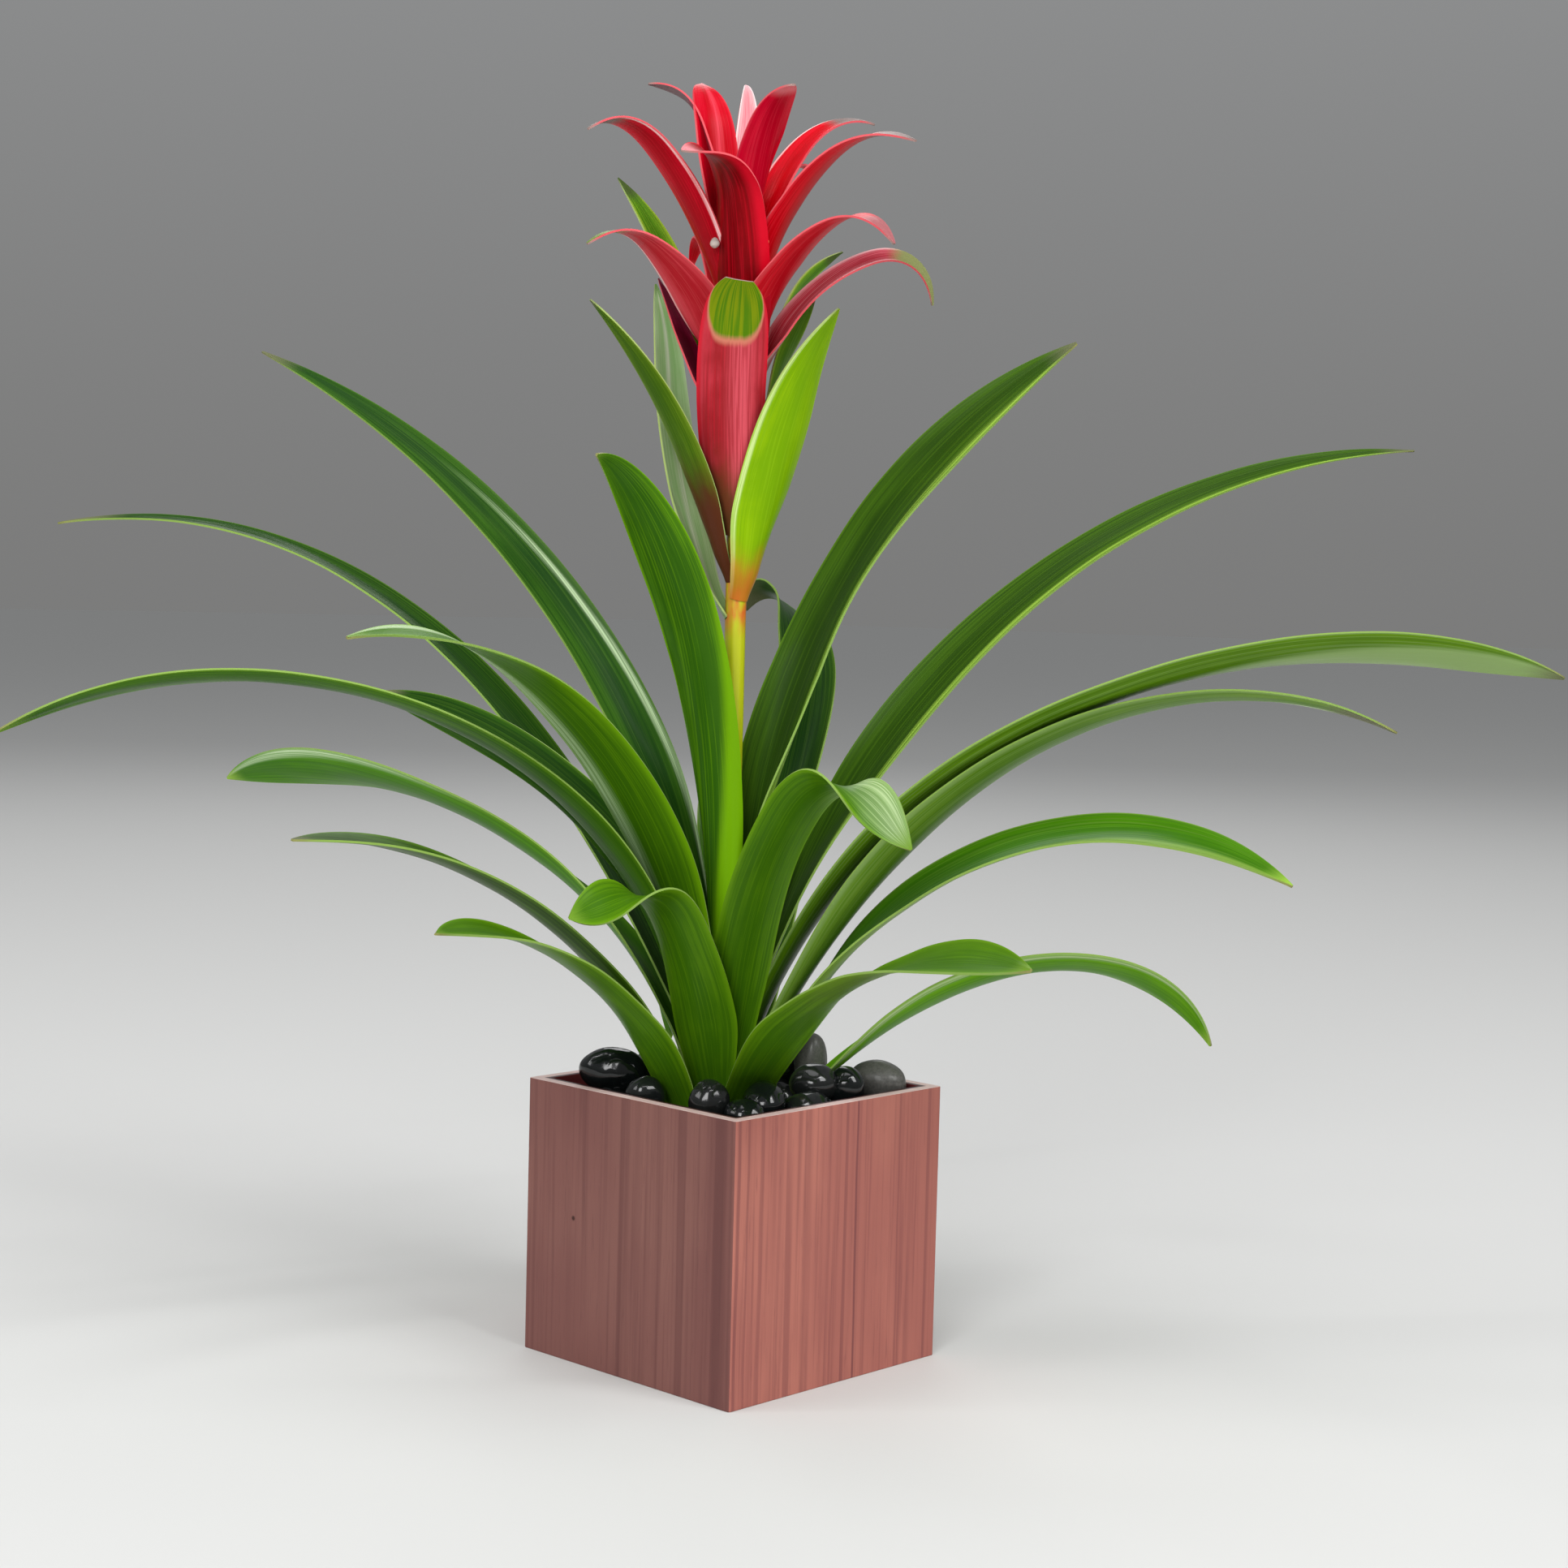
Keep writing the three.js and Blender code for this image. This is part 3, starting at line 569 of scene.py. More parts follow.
blade_fields = ("azimuth", "rise", "droop", "roll", "length", "width", "taper", "curl", "fold")
leaves = [dict(zip(blade_fields, row)) for row in (
    ((229, 28), 73, (73, 0.7), (-12, -10), 220, 32, 4),
    ((-1, 33), 45, (102, 1.8), (-23, 0), 235, 30, 4.5),
    ((102, -9), 55, (104, 0.9), (4, 0), 200, 31, 3),
    ((210, 25), 68, (68, 0.95), (-8, 0), 245, 35, 6),
    ((292, 0), 51, (49, 0.6), (14, 20), 290, 35, 5.5),
    ((78, 5), 66, (58, 0.7), (-4, 0), 230, 31, 3),
    ((257.5, -64), 62, (14, 1.5), (-1, 30), 150, 30, 12, (69, 0.615, 0.895), (-89, 0.705, 1)),
    ((343, -28), 69, (94, 1.1), (24, 0), 290, 31, 5.5),
    ((100, -5), 68, (140, 1), (0, 0), 240, 31, 1.6),
    ((165, -36), 85, (98, 0.6), (23, 30), 320, 35, 6),
    ((277.5, 60), 62, (22, 1), (-5, -37), 220, 26.5, 12, (87, 0.66, 0.95), (119, 0.75, 0.98)),
    ((210, -40), 84, (111, 0.9), (5, 15), 385, 28, 5),
    ((339, 32), 61.5, (86, 1.64), (-15, 1), 344, 36, 3),
    ((92, 0), 70, (123, 1.15), (-4, 0), 260, 32, 3),
    ((157, 28), 61, (73, 1.85), (-14, -5), 410, 26, 2.6),
    ((-22, 39), 73, (86, 0.84), (-11, -26), 419, 36, 7),
    ((226, 15), 76, (86, 1.3), (17, -50), 305, 33, 2.5),
    ((181, -34), 81, (73, 0.9), (56, 25), 225, 28, 5),
    ((16, 2), 74, (72, 1.1), (40, 15), 440, 30, 1.6),
    ((95, -5), 73, (130, 1), (3, 0), 270, 28, 1.6),
    ((157, 3), 88, (66, 0.8), (-44, 0), 390, 26, 3),
    ((44, 108), 76, (54, 1.84), (0, 19), 236, 28, 11, (96, 0.9, 1), (18, 0.76, 0.88)),
    ((20, -30), 89, (57, 1.3), (22, 46), 337, 38, 4.5),
    ((220, 31), 88, (81, 2.75), (18, 50), 270, 29, 6),
)]
leaf_grid = (96, 16)
leaf_thickness = 0.9
leaf_ripple = 0.35
leaf_seed_step = 0.37

blade_group, blade_in, blade_out = new_group(
    "blade_pattern",
    [
        ("Face", "NodeSocketColor", (0.06, 0.16, 0.006, 1)),
        ("Deep", "NodeSocketColor", (0.03, 0.1, 0.004, 1)),
        ("Margin", "NodeSocketColor", (0.11, 0.24, 0.01, 1)),
        ("Tip", "NodeSocketColor", (0.3, 0.3, 0.04, 1)),
        ("Base", "NodeSocketColor", (0.06, 0.16, 0.006, 1)),
        ("Stripe", "NodeSocketColor", (0.3, 0.45, 0.16, 1)),
        ("Margin Width", "NodeSocketFloat", 0.1),
        ("Tip Start", "NodeSocketFloat", 0.96),
        ("Base End", "NodeSocketFloat", -1.0),
        ("Band Start", "NodeSocketFloat", 2.0),
        ("Stripe At", "NodeSocketFloat", -1.0),
        ("Stripe Width", "NodeSocketFloat", 0.06),
        ("Slant", "NodeSocketFloat", 0.0),
        ("Stripe End", "NodeSocketFloat", 2.0),
        ("Flip", "NodeSocketFloat", 0.0),
    ],
    [("Color", "NodeSocketColor"), ("Height", "NodeSocketFloat"), ("Roughness", "NodeSocketFloat")],
)
blade_specular = 0.06
blade_values = blade_in.outputs
blade_uv = blade_group.nodes.new("ShaderNodeUVMap")
blade_uv.uv_map = "UVMap"
split = split_vector(blade_group, blade_uv.outputs["UV"])
along = split["X"]
across = split["Y"]
seed = blade_group.nodes.new("ShaderNodeAttribute")
seed.attribute_name = "seed"
seeded = blade_group.nodes.new("ShaderNodeCombineXYZ")
blade_group.links.new(along, seeded.inputs["X"])
blade_group.links.new(across, seeded.inputs["Y"])
blade_group.links.new(seed.outputs["Fac"], seeded.inputs["Z"])
seeded = seeded.outputs["Vector"]
veins = stretched_noise(blade_group, seeded, (1.6, 17, 13), 3)
fine_veins = stretched_noise(blade_group, seeded, (3, 40, 13), 1.5)
clouds = stretched_noise(blade_group, seeded, (6, 2.2, 29), 4)


def blade_math(operation, first, second=0.0):
    return math_node(blade_group, operation, first, second)


def blade_mask(value, start, end, share=1.0):
    return blade_math("MULTIPLY", mask_between(blade_group, value, start, end), share)


from_middle = blade_math("MULTIPLY", blade_math("ABSOLUTE", blade_math("SUBTRACT", across, 0.5)), 2.0)
flipped = blade_math("ABSOLUTE", blade_math("SUBTRACT", across, blade_values["Flip"]))
wavering = blade_math("MULTIPLY", veins, 0.08)
lightness = blade_math("ADD", blade_math("MULTIPLY", from_middle, 0.45), clouds)
margin_start = blade_math("SUBTRACT", 1.0, blade_values["Margin Width"])
slanted = blade_math("SUBTRACT", flipped, blade_math("MULTIPLY", along, blade_values["Slant"]))
# Painted light: beyond a slanting line across the blade, the side at Flip is painted in the margin colour,
# as the lighter side that light falls on.
lit_side_edge = blade_math("ADD", slanted, wavering)
# Painted highlight: a pale streak along the blade, at a set place across it, stands in for the gloss
# highlights on folds and edges; at a folded margin it also stands for the paler underside that shows there.
highlight_off = blade_math("ABSOLUTE", blade_math("SUBTRACT", slanted, blade_values["Stripe At"]))
highlight_fade_start = blade_math("SUBTRACT", blade_values["Stripe End"], 0.25)
highlight_fade = mask_between(blade_group, along, blade_values["Stripe End"], highlight_fade_start)
highlight_breaks = blade_math("ADD", blade_mask(fine_veins, 0.42, 0.58, 0.6), 0.4)
highlight_mask = blade_math("MULTIPLY", highlight_fade, blade_mask(highlight_off, blade_values["Stripe Width"], 0.01))
highlight_mask = blade_math("MULTIPLY", highlight_mask, highlight_breaks)
tip_edge = blade_math("ADD", along, blade_math("MULTIPLY", veins, 0.03))
base_edge = blade_math("ADD", along, blade_math("MULTIPLY", clouds, 0.3))
lit_side_end = blade_math("ADD", blade_values["Band Start"], 0.18)
base_start = blade_math("ADD", blade_values["Base End"], 0.2)
base_end = blade_math("SUBTRACT", blade_values["Base End"], 0.12)
tip_end = blade_math("ADD", blade_values["Tip Start"], 0.06)
layers = [
    ("Face", blade_mask(lightness, 0.5, 0.95)),
    ("Deep", blade_mask(veins, 0.46, 0.6, 0.75)),
    ("Margin", blade_mask(fine_veins, 0.5, 0.66, 0.3)),
    ("Margin", blade_mask(blade_math("ADD", from_middle, wavering), margin_start, 1.05)),
    ("Margin", blade_mask(lit_side_edge, blade_values["Band Start"], lit_side_end)),
    ("Stripe", highlight_mask),
    ("Base", mask_between(blade_group, base_edge, base_start, base_end)),
    ("Tip", mask_between(blade_group, tip_edge, blade_values["Tip Start"], tip_end)),
]
blade_colour = blade_values["Deep"]
for label, mask in layers:
    blade_colour = mixed_colour(blade_group, mask, blade_colour, blade_values[label])
blade_group.links.new(blade_colour, blade_out.inputs["Color"])
blade_group.links.new(
    blade_math("ADD", veins, blade_math("MULTIPLY", fine_veins, 0.25)), blade_out.inputs["Height"]
)
blade_group.links.new(
    blade_math("ADD", blade_math("MULTIPLY", clouds, 0.2), 0.24), blade_out.inputs["Roughness"]
)


looks = {}


def blade_look(name, *colours, **pattern_values):
    material, tree, shader = new_material(name, 0.5, blade_specular)
    pattern = tree.nodes.new("ShaderNodeGroup")
    pattern.node_tree = blade_group
    colours = dict(zip(("face", "deep", "margin", "tip"), colours))
    for label, value in {**colours, **pattern_values}.items():
        socket = pattern.inputs[label.replace("_", " ").title()]
        socket.default_value = (*value, 1) if isinstance(value, tuple) else value
    tree.links.new(pattern.outputs["Color"], shader.inputs["Base Color"])
    tree.links.new(pattern.outputs["Roughness"], shader.inputs["Roughness"])
    add_bump(tree, shader, pattern.outputs["Height"], 0.15 * mm, 0.7)
    looks[name] = material


dry_tip = (0.16, 0.3, 0.025)
gray_tip = (0.15, 0.16, 0.08)
pale_lime = (0.3, 0.5, 0.06)
pale_green = (0.24, 0.38, 0.11)
# Painted highlight colour for the pale streaks.
highlight_white = (0.5, 0.66, 0.38)
bright_green = [(0.08, 0.21, 0.003), (0.045, 0.14, 0.003), (0.135, 0.3, 0.006), dry_tip]
middle_green = [(0.062, 0.185, 0.005), (0.03, 0.11, 0.004), (0.12, 0.27, 0.008), dry_tip]
dark_green = [(0.026, 0.088, 0.006), (0.01, 0.045, 0.005), (0.08, 0.18, 0.015), gray_tip]
olive_green = [(0.045, 0.115, 0.006), (0.024, 0.066, 0.005), (0.09, 0.2, 0.01), gray_tip]
# In the looks below, the pale streaks are painted highlights, standing in for the gloss along folds and
# edges.
blade_look("leaf_bright", *bright_green, margin_width=0.14)
blade_look("leaf_middle", *middle_green)
blade_look("leaf_dark", *dark_green, margin_width=0.08, tip_start=0.93)
blade_look(
    "leaf_long_highlight", (0.035, 0.115, 0.008), (0.012, 0.055, 0.006), (0.08, 0.18, 0.02), gray_tip,
    margin_width=0.05, tip_start=0.95, flip=1.0, stripe=highlight_white, stripe_at=1.08, stripe_width=0.1,
    stripe_end=0.75, slant=-0.53,
)
# Painted light: one side of this blade is painted lighter, where light falls on it.
blade_look(
    "leaf_side_lit", *middle_green[:2], (0.17, 0.39, 0.003), dry_tip, margin_width=0.08, band_start=0.36,
    slant=0.9, tip_start=0.98,
)
blade_look("leaf_olive", *olive_green, margin_width=0.12)
blade_look(
    "leaf_edge_highlight", *olive_green, margin_width=0.04, flip=1.0, stripe=pale_lime, stripe_at=0.94,
    stripe_width=0.12,
)
blade_look(
    "leaf_broad_highlight", *bright_green[:2], (0.16, 0.36, 0.004), pale_green, margin_width=0.2, flip=1.0,
    stripe=highlight_white, stripe_at=0.86, stripe_width=0.24,
)
blade_look(
    "leaf_pale", (0.16, 0.3, 0.03), (0.09, 0.21, 0.01), pale_green, gray_tip, margin_width=0.2,
    tip_start=0.9, stripe=highlight_white, stripe_at=0.9, stripe_width=0.18,
)
# Painted light: one side of this blade is painted lighter, where light falls on it.
blade_look(
    "leaf_lit_sided", (0.12, 0.26, 0.006), (0.075, 0.18, 0.005), (0.27, 0.41, 0.14), gray_tip,
    margin_width=0.03, band_start=1.05, slant=-1.0,
)
# Painted light: one side of this blade is painted lighter, where light falls on it.
blade_look(
    "leaf_half_lit", (0.06, 0.2, 0.003), (0.035, 0.14, 0.002), (0.17, 0.31, 0.04), pale_lime,
    margin_width=0.03, band_start=0.68, flip=1.0,
)
blade_look(
    "leaf_flap_highlight", *bright_green, margin_width=0.14, stripe=(0.42, 0.56, 0.28), stripe_at=4.5,
    stripe_width=1.0, slant=-4.0, band_start=9.0,
)
blade_look(
    "leaf_slanting_highlight", (0.07, 0.24, 0.002), (0.04, 0.16, 0.002), (0.12, 0.3, 0.004), pale_lime,
    stripe=highlight_white, stripe_at=1.33, stripe_width=0.15, slant=-0.5,
)
blade_look(
    "leaf_fresh", (0.13, 0.36, 0.003), (0.07, 0.24, 0.003), (0.16, 0.4, 0.004), pale_lime, flip=1.0,
    stripe=(0.4, 0.55, 0.25), stripe_at=0.95, stripe_width=0.09,
)
leaf_tones = [
    "bright", "fresh", "middle", "olive", "bright", "middle", "bright", "half_lit",
    "middle", "slanting_highlight", "flap_highlight", "middle", "pale", "middle", "dark", "lit_sided",
    "broad_highlight", "dark", "edge_highlight", "middle", "long_highlight", "dark", "edge_highlight", "side_lit",
]
blade_look("leaf_rim", (0.16, 0.29, 0.04), (0.1, 0.2, 0.02), (0.24, 0.38, 0.08), (0.26, 0.26, 0.09))
for index, leaf in enumerate(leaves):
    inwards = index / (len(leaves) - 1)
    leaf["foot"] = [low + (high - low) * inwards for low, high in zip(leaf_ring_low, leaf_ring_high)]
    node_name = f"leaf_{index + 1:02d}"
    piece = blade_sheet(
        f"strap_{node_name}", leaf, leaf_grid, [node_name], leaf_thickness, leaf_ripple
    )
    mark_seed(piece, index * leaf_seed_step)
    look = looks["leaf_" + leaf_tones[index]]
    dress(piece, look, look, looks["leaf_rim"])

# Flower stem: a round fleshy stalk that stands in the crown and carries the flower head. It is green
# below and yellow above, blotched red among the green bracts, with faint ribs.
stem_radius = 4.6
stem_foot = 146
stem_top = 388
stem_rings = 60
stem_sides = 32
rib_count = 9
rib_depth = 0.02
stem_unevenness = 0.03
stem_wave_rate = 40

stalk = bmesh.new()
bmesh.ops.create_circle(stalk, cap_ends=True, segments=stem_sides, radius=stem_radius * mm)
bmesh.ops.translate(stalk, verts=stalk.verts, vec=Vector((stem_offset, 0, stem_foot)) * mm)
stem_rise = (stem_top - stem_foot) / stem_rings
open_end = list(stalk.faces)
for ring_number in range(stem_rings):
    made = bmesh.ops.extrude_face_region(stalk, geom=open_end)["geom"]
    if ring_number:
        bmesh.ops.delete(stalk, geom=open_end, context="FACES")
    open_end = [item for item in made if isinstance(item, bmesh.types.BMFace)]
    lifted = [item for item in made if isinstance(item, bmesh.types.BMVert)]
    bmesh.ops.translate(stalk, verts=lifted, vec=(0, 0, stem_rise * mm))
for vert in stalk.verts:
    axis = Vector((stem_offset * mm, 0, vert.co.z))
    spoke = vert.co - axis
    angle = math.atan2(spoke.y, spoke.x)
    wave = noise.noise(Vector((angle, vert.co.z * stem_wave_rate, 3)))
    rib = 1 - rib_depth * (1 + math.cos(rib_count * angle)) - stem_unevenness * wave
    vert.co = axis + spoke * min(rib, 1)
bmesh.ops.recalc_face_normals(stalk, faces=stalk.faces)
bmesh.ops.rotate(stalk, verts=stalk.verts, cent=(0, 0, 0), matrix=plant_turn)
smooth_faces(stalk)
stem = new_piece("flower_stalk", stalk, ["flower_stem"])
stem_skin, stem_tree, stem_shader = new_material("stalk_skin", 0.38)
stem_place = object_place(stem_tree)
stem_height = split_vector(stem_tree, stem_place)["Z"]
stem_streaks = stretched_noise(stem_tree, stem_place, (420, 420, 16), 3)
stem_blotches = stretched_noise(stem_tree, stem_place, (130, 130, 45), 3, (2, 6, 1))
yellow_mask = mask_between(stem_tree, stem_height, 0.2, 0.3)
stem_colour = mixed_colour(stem_tree, yellow_mask, (0.12, 0.24, 0.004, 1), (0.52, 0.56, 0.008, 1))
blush_mask = mask_between(stem_tree, stem_height, 0.312, 0.326)
blotch_mask = mask_between(stem_tree, stem_blotches, 0.4, 0.6)
blush_mask = math_node(stem_tree, "MULTIPLY", blush_mask, blotch_mask)
stem_colour = mixed_colour(stem_tree, blush_mask, stem_colour, (0.7, 0.12, 0.025, 1))
streak_mask = math_node(stem_tree, "MULTIPLY", mask_between(stem_tree, stem_streaks, 0.5, 0.75), 0.35)
paint(stem_tree, stem_shader, streak_mask, stem_colour, (0.3, 0.34, 0.02, 1))
add_bump(stem_tree, stem_shader, stem_streaks, 0.2 * mm, 0.5)
dress(stem, stem_skin)

# Stem bracts: six green leaves that clasp the stalk below the flower head. They are made as the
# leaves are, a little thinner, and their feet are sunk into the stalk. There are four kinds of green.
bract_fields = ("foot", *blade_fields)
stem_bracts = [dict(zip(bract_fields, row)) for row in (
    ((6.1, 330), (326, -2), 77, (26, 3.1), (-16, 15), 132, 32, 4.5),
    ((5.9, 338), (213, 10), 73, (38, 1.5), (12, -5), 138, 17, 3),
    ((5.9, 322), (161, -14), 64, (-30, 1), (-24, -10), 150, 21, 4.5, (20, 0.7, 1)),
    ((5.9, 352), (28, -38), 86, (28, 1.9), (-10, -45), 114, 17, 4.5),
    ((6.4, 382), (58, -32), 88, (48, 1), (-32, -30), 122, 16, 3.5, (10, 0.7, 1)),
    ((6.2, 381), (149, -4), 79, (30, 1.3), (-24, -5), 150, 16, 4.5, (5, 0.7, 1)),
)]
bract_grid = (56, 14)
bract_thickness = 0.85
stem_bract_ripple = 0.2
stem_bract_sink = 1.6
stem_seed_start = 20
stem_seed_step = 0.61

# Painted highlight colour for the lime bract's pale edge streak; the gray bract's pale streak is a painted
# highlight too.
bract_highlight = (0.62, 0.8, 0.3)
blade_look(
    "bract_lime", (0.25, 0.46, 0.001), (0.18, 0.38, 0.001), (0.33, 0.56, 0.01), (0.25, 0.4, 0.01),
    margin_width=0.06, base=(0.66, 0.17, 0.025), base_end=0.2, flip=1.0, stripe=bract_highlight,
    stripe_at=0.96,
)
blade_look(
    "bract_deep", (0.09, 0.18, 0.006), (0.045, 0.12, 0.004), (0.17, 0.28, 0.02), gray_tip,
    margin_width=0.2, base=(0.11, 0.03, 0.012), base_end=0.45,
)
blade_look(
    "bract_gray", (0.42, 0.58, 0.3), (0.28, 0.48, 0.18), (0.5, 0.62, 0.38), (0.14, 0.27, 0.07),
    stripe_at=0.5, stripe=(0.6, 0.66, 0.48), stripe_width=0.16,
)
blade_look(
    "bract_fresh", (0.12, 0.29, 0.008), (0.05, 0.17, 0.005), (0.3, 0.46, 0.03), (0.06, 0.1, 0.02),
    margin_width=0.3, tip_start=0.9,
)
blade_look("bract_rim", (0.32, 0.46, 0.1), (0.24, 0.36, 0.06), (0.38, 0.5, 0.16), (0.2, 0.24, 0.1))
bract_tones = ["lime", "deep", "gray", "deep", "fresh", "fresh"]
bract_back_tones = ["lime", "deep", "gray", "deep", "fresh", "gray"]
for index, bract in enumerate(stem_bracts):
    node_name = f"stem_bract_{index + 1}"
    piece = blade_sheet(
        f"clasping_{node_name}", bract, bract_grid, [node_name], bract_thickness, stem_bract_ripple,
        stem_bract_sink,
    )
    mark_seed(piece, stem_seed_start + index * stem_seed_step)
    look = looks["bract_" + bract_tones[index]]
    back_look = looks["bract_" + bract_back_tones[index]]
    dress(piece, look, back_look, looks["bract_rim"])

# Flower head: sixteen bracts, most of them red, in a spiral round a fleshy core. The front one starts
# on the stalk below the core and ends in a green cap. Together they are one grown bloom.
head_bracts = [dict(zip(bract_fields, row)) for row in (
    ((6.2, 358), (260, 27), 73.5, (0, 1), (10.5, -26), 110.5, 31, 12, (14, 0.8, 1)),
    ((5, 394), (-5, 10), 88, (104, 1.35), (31, 20), 143, 22, 2, (70, 0.7, 1)),
    ((5, 398), (173, -22), 65, (-4, 3.1), (-28, -15), 78, 18, 1.5, (10, 0.7, 1)),
    ((5, 402), (214, -2), 86, (68, 1), (16, -20), 122, 34, 2, (55, 0.7, 1)),
    ((5, 404), (326, -4), 89, (106, 1.6), (8, 5), 136, 35, 2.2, (40, 0.7, 1)),
    ((5, 408), (114, -4), 86, (92, 1.7), (0, 0), 124, 24, 2.5, (60, 0.7, 1)),
    ((5, 410), (259, -44.5), 80, (0, 4), (-10, -8), 128, 31, 11, (90, 0.67, 1)),
    ((5, 420), (341, -12), 89, (82, 1.6), (6, 10), 148, 31, 4, (30, 0.7, 1)),
    ((5, 422), (194, 40), 86, (68, 1.5), (12, 0), 148, 21, 4, (50, 0.7, 1)),
    ((5, 424), (52, 6), 88, (60, 2.1), (0, 0), 124, 22, 2.5, (50, 0.7, 1)),
    ((5, 424), (72, 4), 86, (96, 3.4), (0, 0), 124, 24, 2.5, (55, 0.7, 1)),
    ((5, 428), (12, 16), 89, (92, 2.7), (28, -5), 140, 28, 2, (10, 0.7, 1)),
    ((5, 430), (144, 6), 89, (38, 1.6), (18, 5), 144, 25, 3.5, (40, 0.7, 1)),
    ((5, 428), (300, -12), 89, (96, 3.5), (24, -15), 136, 26, 6),
    ((5, 432), (153, -60), 82.7, (2, 1.3), (-2, 8), 137, 25, 5.5, (62, 0.7, 1)),
    ((5, 438), (90, 4), 78, (62, 1.7), (0, 5), 170, 22, 1.5, (5, 0.7, 1)),
)]
head_bracts[0]["blunt"] = 0.38
head_ripple = 0.25
head_seed_start = 40
head_seed_step = 0.53
core_foot = 388.3
core_top = 505
core_radii = (4.8, 8, 3)
core_middle_at = 0.4
core_sides = 32

# The pale pink and light red streaks on the red bracts below are painted highlights.
pink = (0.78, 0.22, 0.25)
highlight_pink = (0.9, 0.62, 0.62)
whisker = (0.2, 0.14, 0.13)
vivid_red = [(0.72, 0.002, 0.016), (0.52, 0.001, 0.006), (0.78, 0.03, 0.05)]
blade_look("bract_red", *vivid_red, pink)
blade_look(
    "bract_front_left", (0.64, 0.001, 0.018), (0.48, 0.001, 0.008), (0.7, 0.03, 0.05), pink,
    stripe=(0.74, 0.05, 0.08), stripe_at=0.62, stripe_width=0.16, flip=1.0,
)
blade_look(
    "bract_front_right", (0.7, 0.002, 0.03), (0.5, 0.001, 0.018), (0.75, 0.04, 0.08), pink,
    margin_width=0.06, tip_start=0.9,
)
blade_look("bract_upper_right", *vivid_red, whisker, tip_start=0.84, stripe=highlight_pink, stripe_at=0.985)
blade_look(
    "bract_upper_left", (0.58, 0.003, 0.018), (0.36, 0.001, 0.008), (0.8, 0.012, 0.03), whisker,
    margin_width=0.22, tip_start=0.86, stripe=highlight_pink, stripe_at=0.95,
)
# The brighter red band on one side of this bract is partly its own margin colour, partly painted light.
blade_look(
    "bract_dark_red", (0.34, 0.001, 0.006), (0.18, 0.001, 0.003), (0.66, 0.004, 0.02), pink,
    margin_width=0.12, tip_start=0.93, base=(0.05, 0.002, 0.003), base_end=0.43, band_start=0.8,
)
blade_look(
    "bract_salmon", (0.8, 0.012, 0.028), (0.62, 0.004, 0.014), (0.84, 0.07, 0.09), (0.4, 0.13, 0.14),
    margin_width=0.16, tip_start=0.84,
)
blade_look(
    "bract_rosy", (0.68, 0.05, 0.07), (0.5, 0.012, 0.022), (0.72, 0.1, 0.11), (0.16, 0.24, 0.05),
    tip_start=0.84, flip=1.0, stripe=highlight_pink, stripe_at=0.97,
)
blade_look(
    "bract_pink", (0.5, 0.06, 0.09), (0.34, 0.02, 0.035), (0.76, 0.42, 0.44), (0.2, 0.22, 0.08),
    margin_width=0.3, tip_start=0.78,
)
# Painted shade: the bract behind on the left is painted very dark; partly its own dark purple-red, partly
# painted shade.
blade_look(
    "bract_shade_darkened", (0.1, 0.002, 0.016), (0.06, 0.001, 0.009), (0.18, 0.01, 0.03), (0.14, 0.02, 0.04),
)
blade_look(
    "bract_dull", (0.34, 0.03, 0.06), (0.2, 0.012, 0.03), (0.5, 0.1, 0.13), (0.2, 0.12, 0.13),
    tip_start=0.8,
)
blade_look(
    "bract_pale", (0.78, 0.36, 0.38), (0.66, 0.16, 0.2), (0.9, 0.75, 0.74), (0.8, 0.55, 0.57),
    margin_width=0.2,
)
blade_look(
    "bract_capped", (0.55, 0.04, 0.06), (0.34, 0.016, 0.022), (0.66, 0.012, 0.03), pink, tip_start=1.2,
    base=(0.16, 0.06, 0.02), base_end=0.33, stripe=(0.68, 0.09, 0.12), stripe_at=0.62, stripe_width=0.3,
    margin_width=0.14,
)
cap_tree = looks["bract_capped"].node_tree
cap_shader = cap_tree.nodes["Principled BSDF"]
cap_red = cap_shader.inputs["Base Color"].links[0].from_socket
cap_uv = cap_tree.nodes.new("ShaderNodeUVMap")
cap_uv.uv_map = "UVMap"
cap_split = split_vector(cap_tree, cap_uv.outputs["UV"])
cap_streaks = stretched_noise(cap_tree, cap_uv.outputs["UV"], (3, 22, 1), 2)
cap_off_middle = math_node(cap_tree, "SUBTRACT", cap_split["Y"], 0.5)
cap_off_middle = math_node(cap_tree, "ABSOLUTE", cap_off_middle)
cap_rounding = math_node(cap_tree, "MULTIPLY", math_node(cap_tree, "POWER", cap_off_middle, 4.0), 3.2)
cap_reach = math_node(cap_tree, "SUBTRACT", cap_split["X"], cap_rounding)
cap_reach = math_node(cap_tree, "ADD", cap_reach, math_node(cap_tree, "MULTIPLY", cap_streaks, 0.02))
cap_streak_mask = mask_between(cap_tree, cap_streaks, 0.4, 0.62)
cap_green = mixed_colour(cap_tree, cap_streak_mask, (0.2, 0.27, 0.003, 1), (0.08, 0.2, 0.003, 1))
cap_edge = mask_between(cap_tree, cap_reach, 0.745, 0.775)
cap_fade = mixed_colour(cap_tree, cap_edge, cap_red, (0.62, 0.2, 0.13, 1))
paint(cap_tree, cap_shader, mask_between(cap_tree, cap_reach, 0.77, 0.8), cap_fade, cap_green)
blade_look("bract_red_rim", (0.6, 0.025, 0.04), (0.46, 0.01, 0.02), (0.72, 0.1, 0.12), (0.35, 0.24, 0.22))
head_tones = [
    "capped", "pink", "shade_darkened", "rosy", "salmon", "red", "dark_red", "upper_right", "upper_left", "red",
    "red", "upper_right", "dull", "front_right", "front_left", "pale",
]
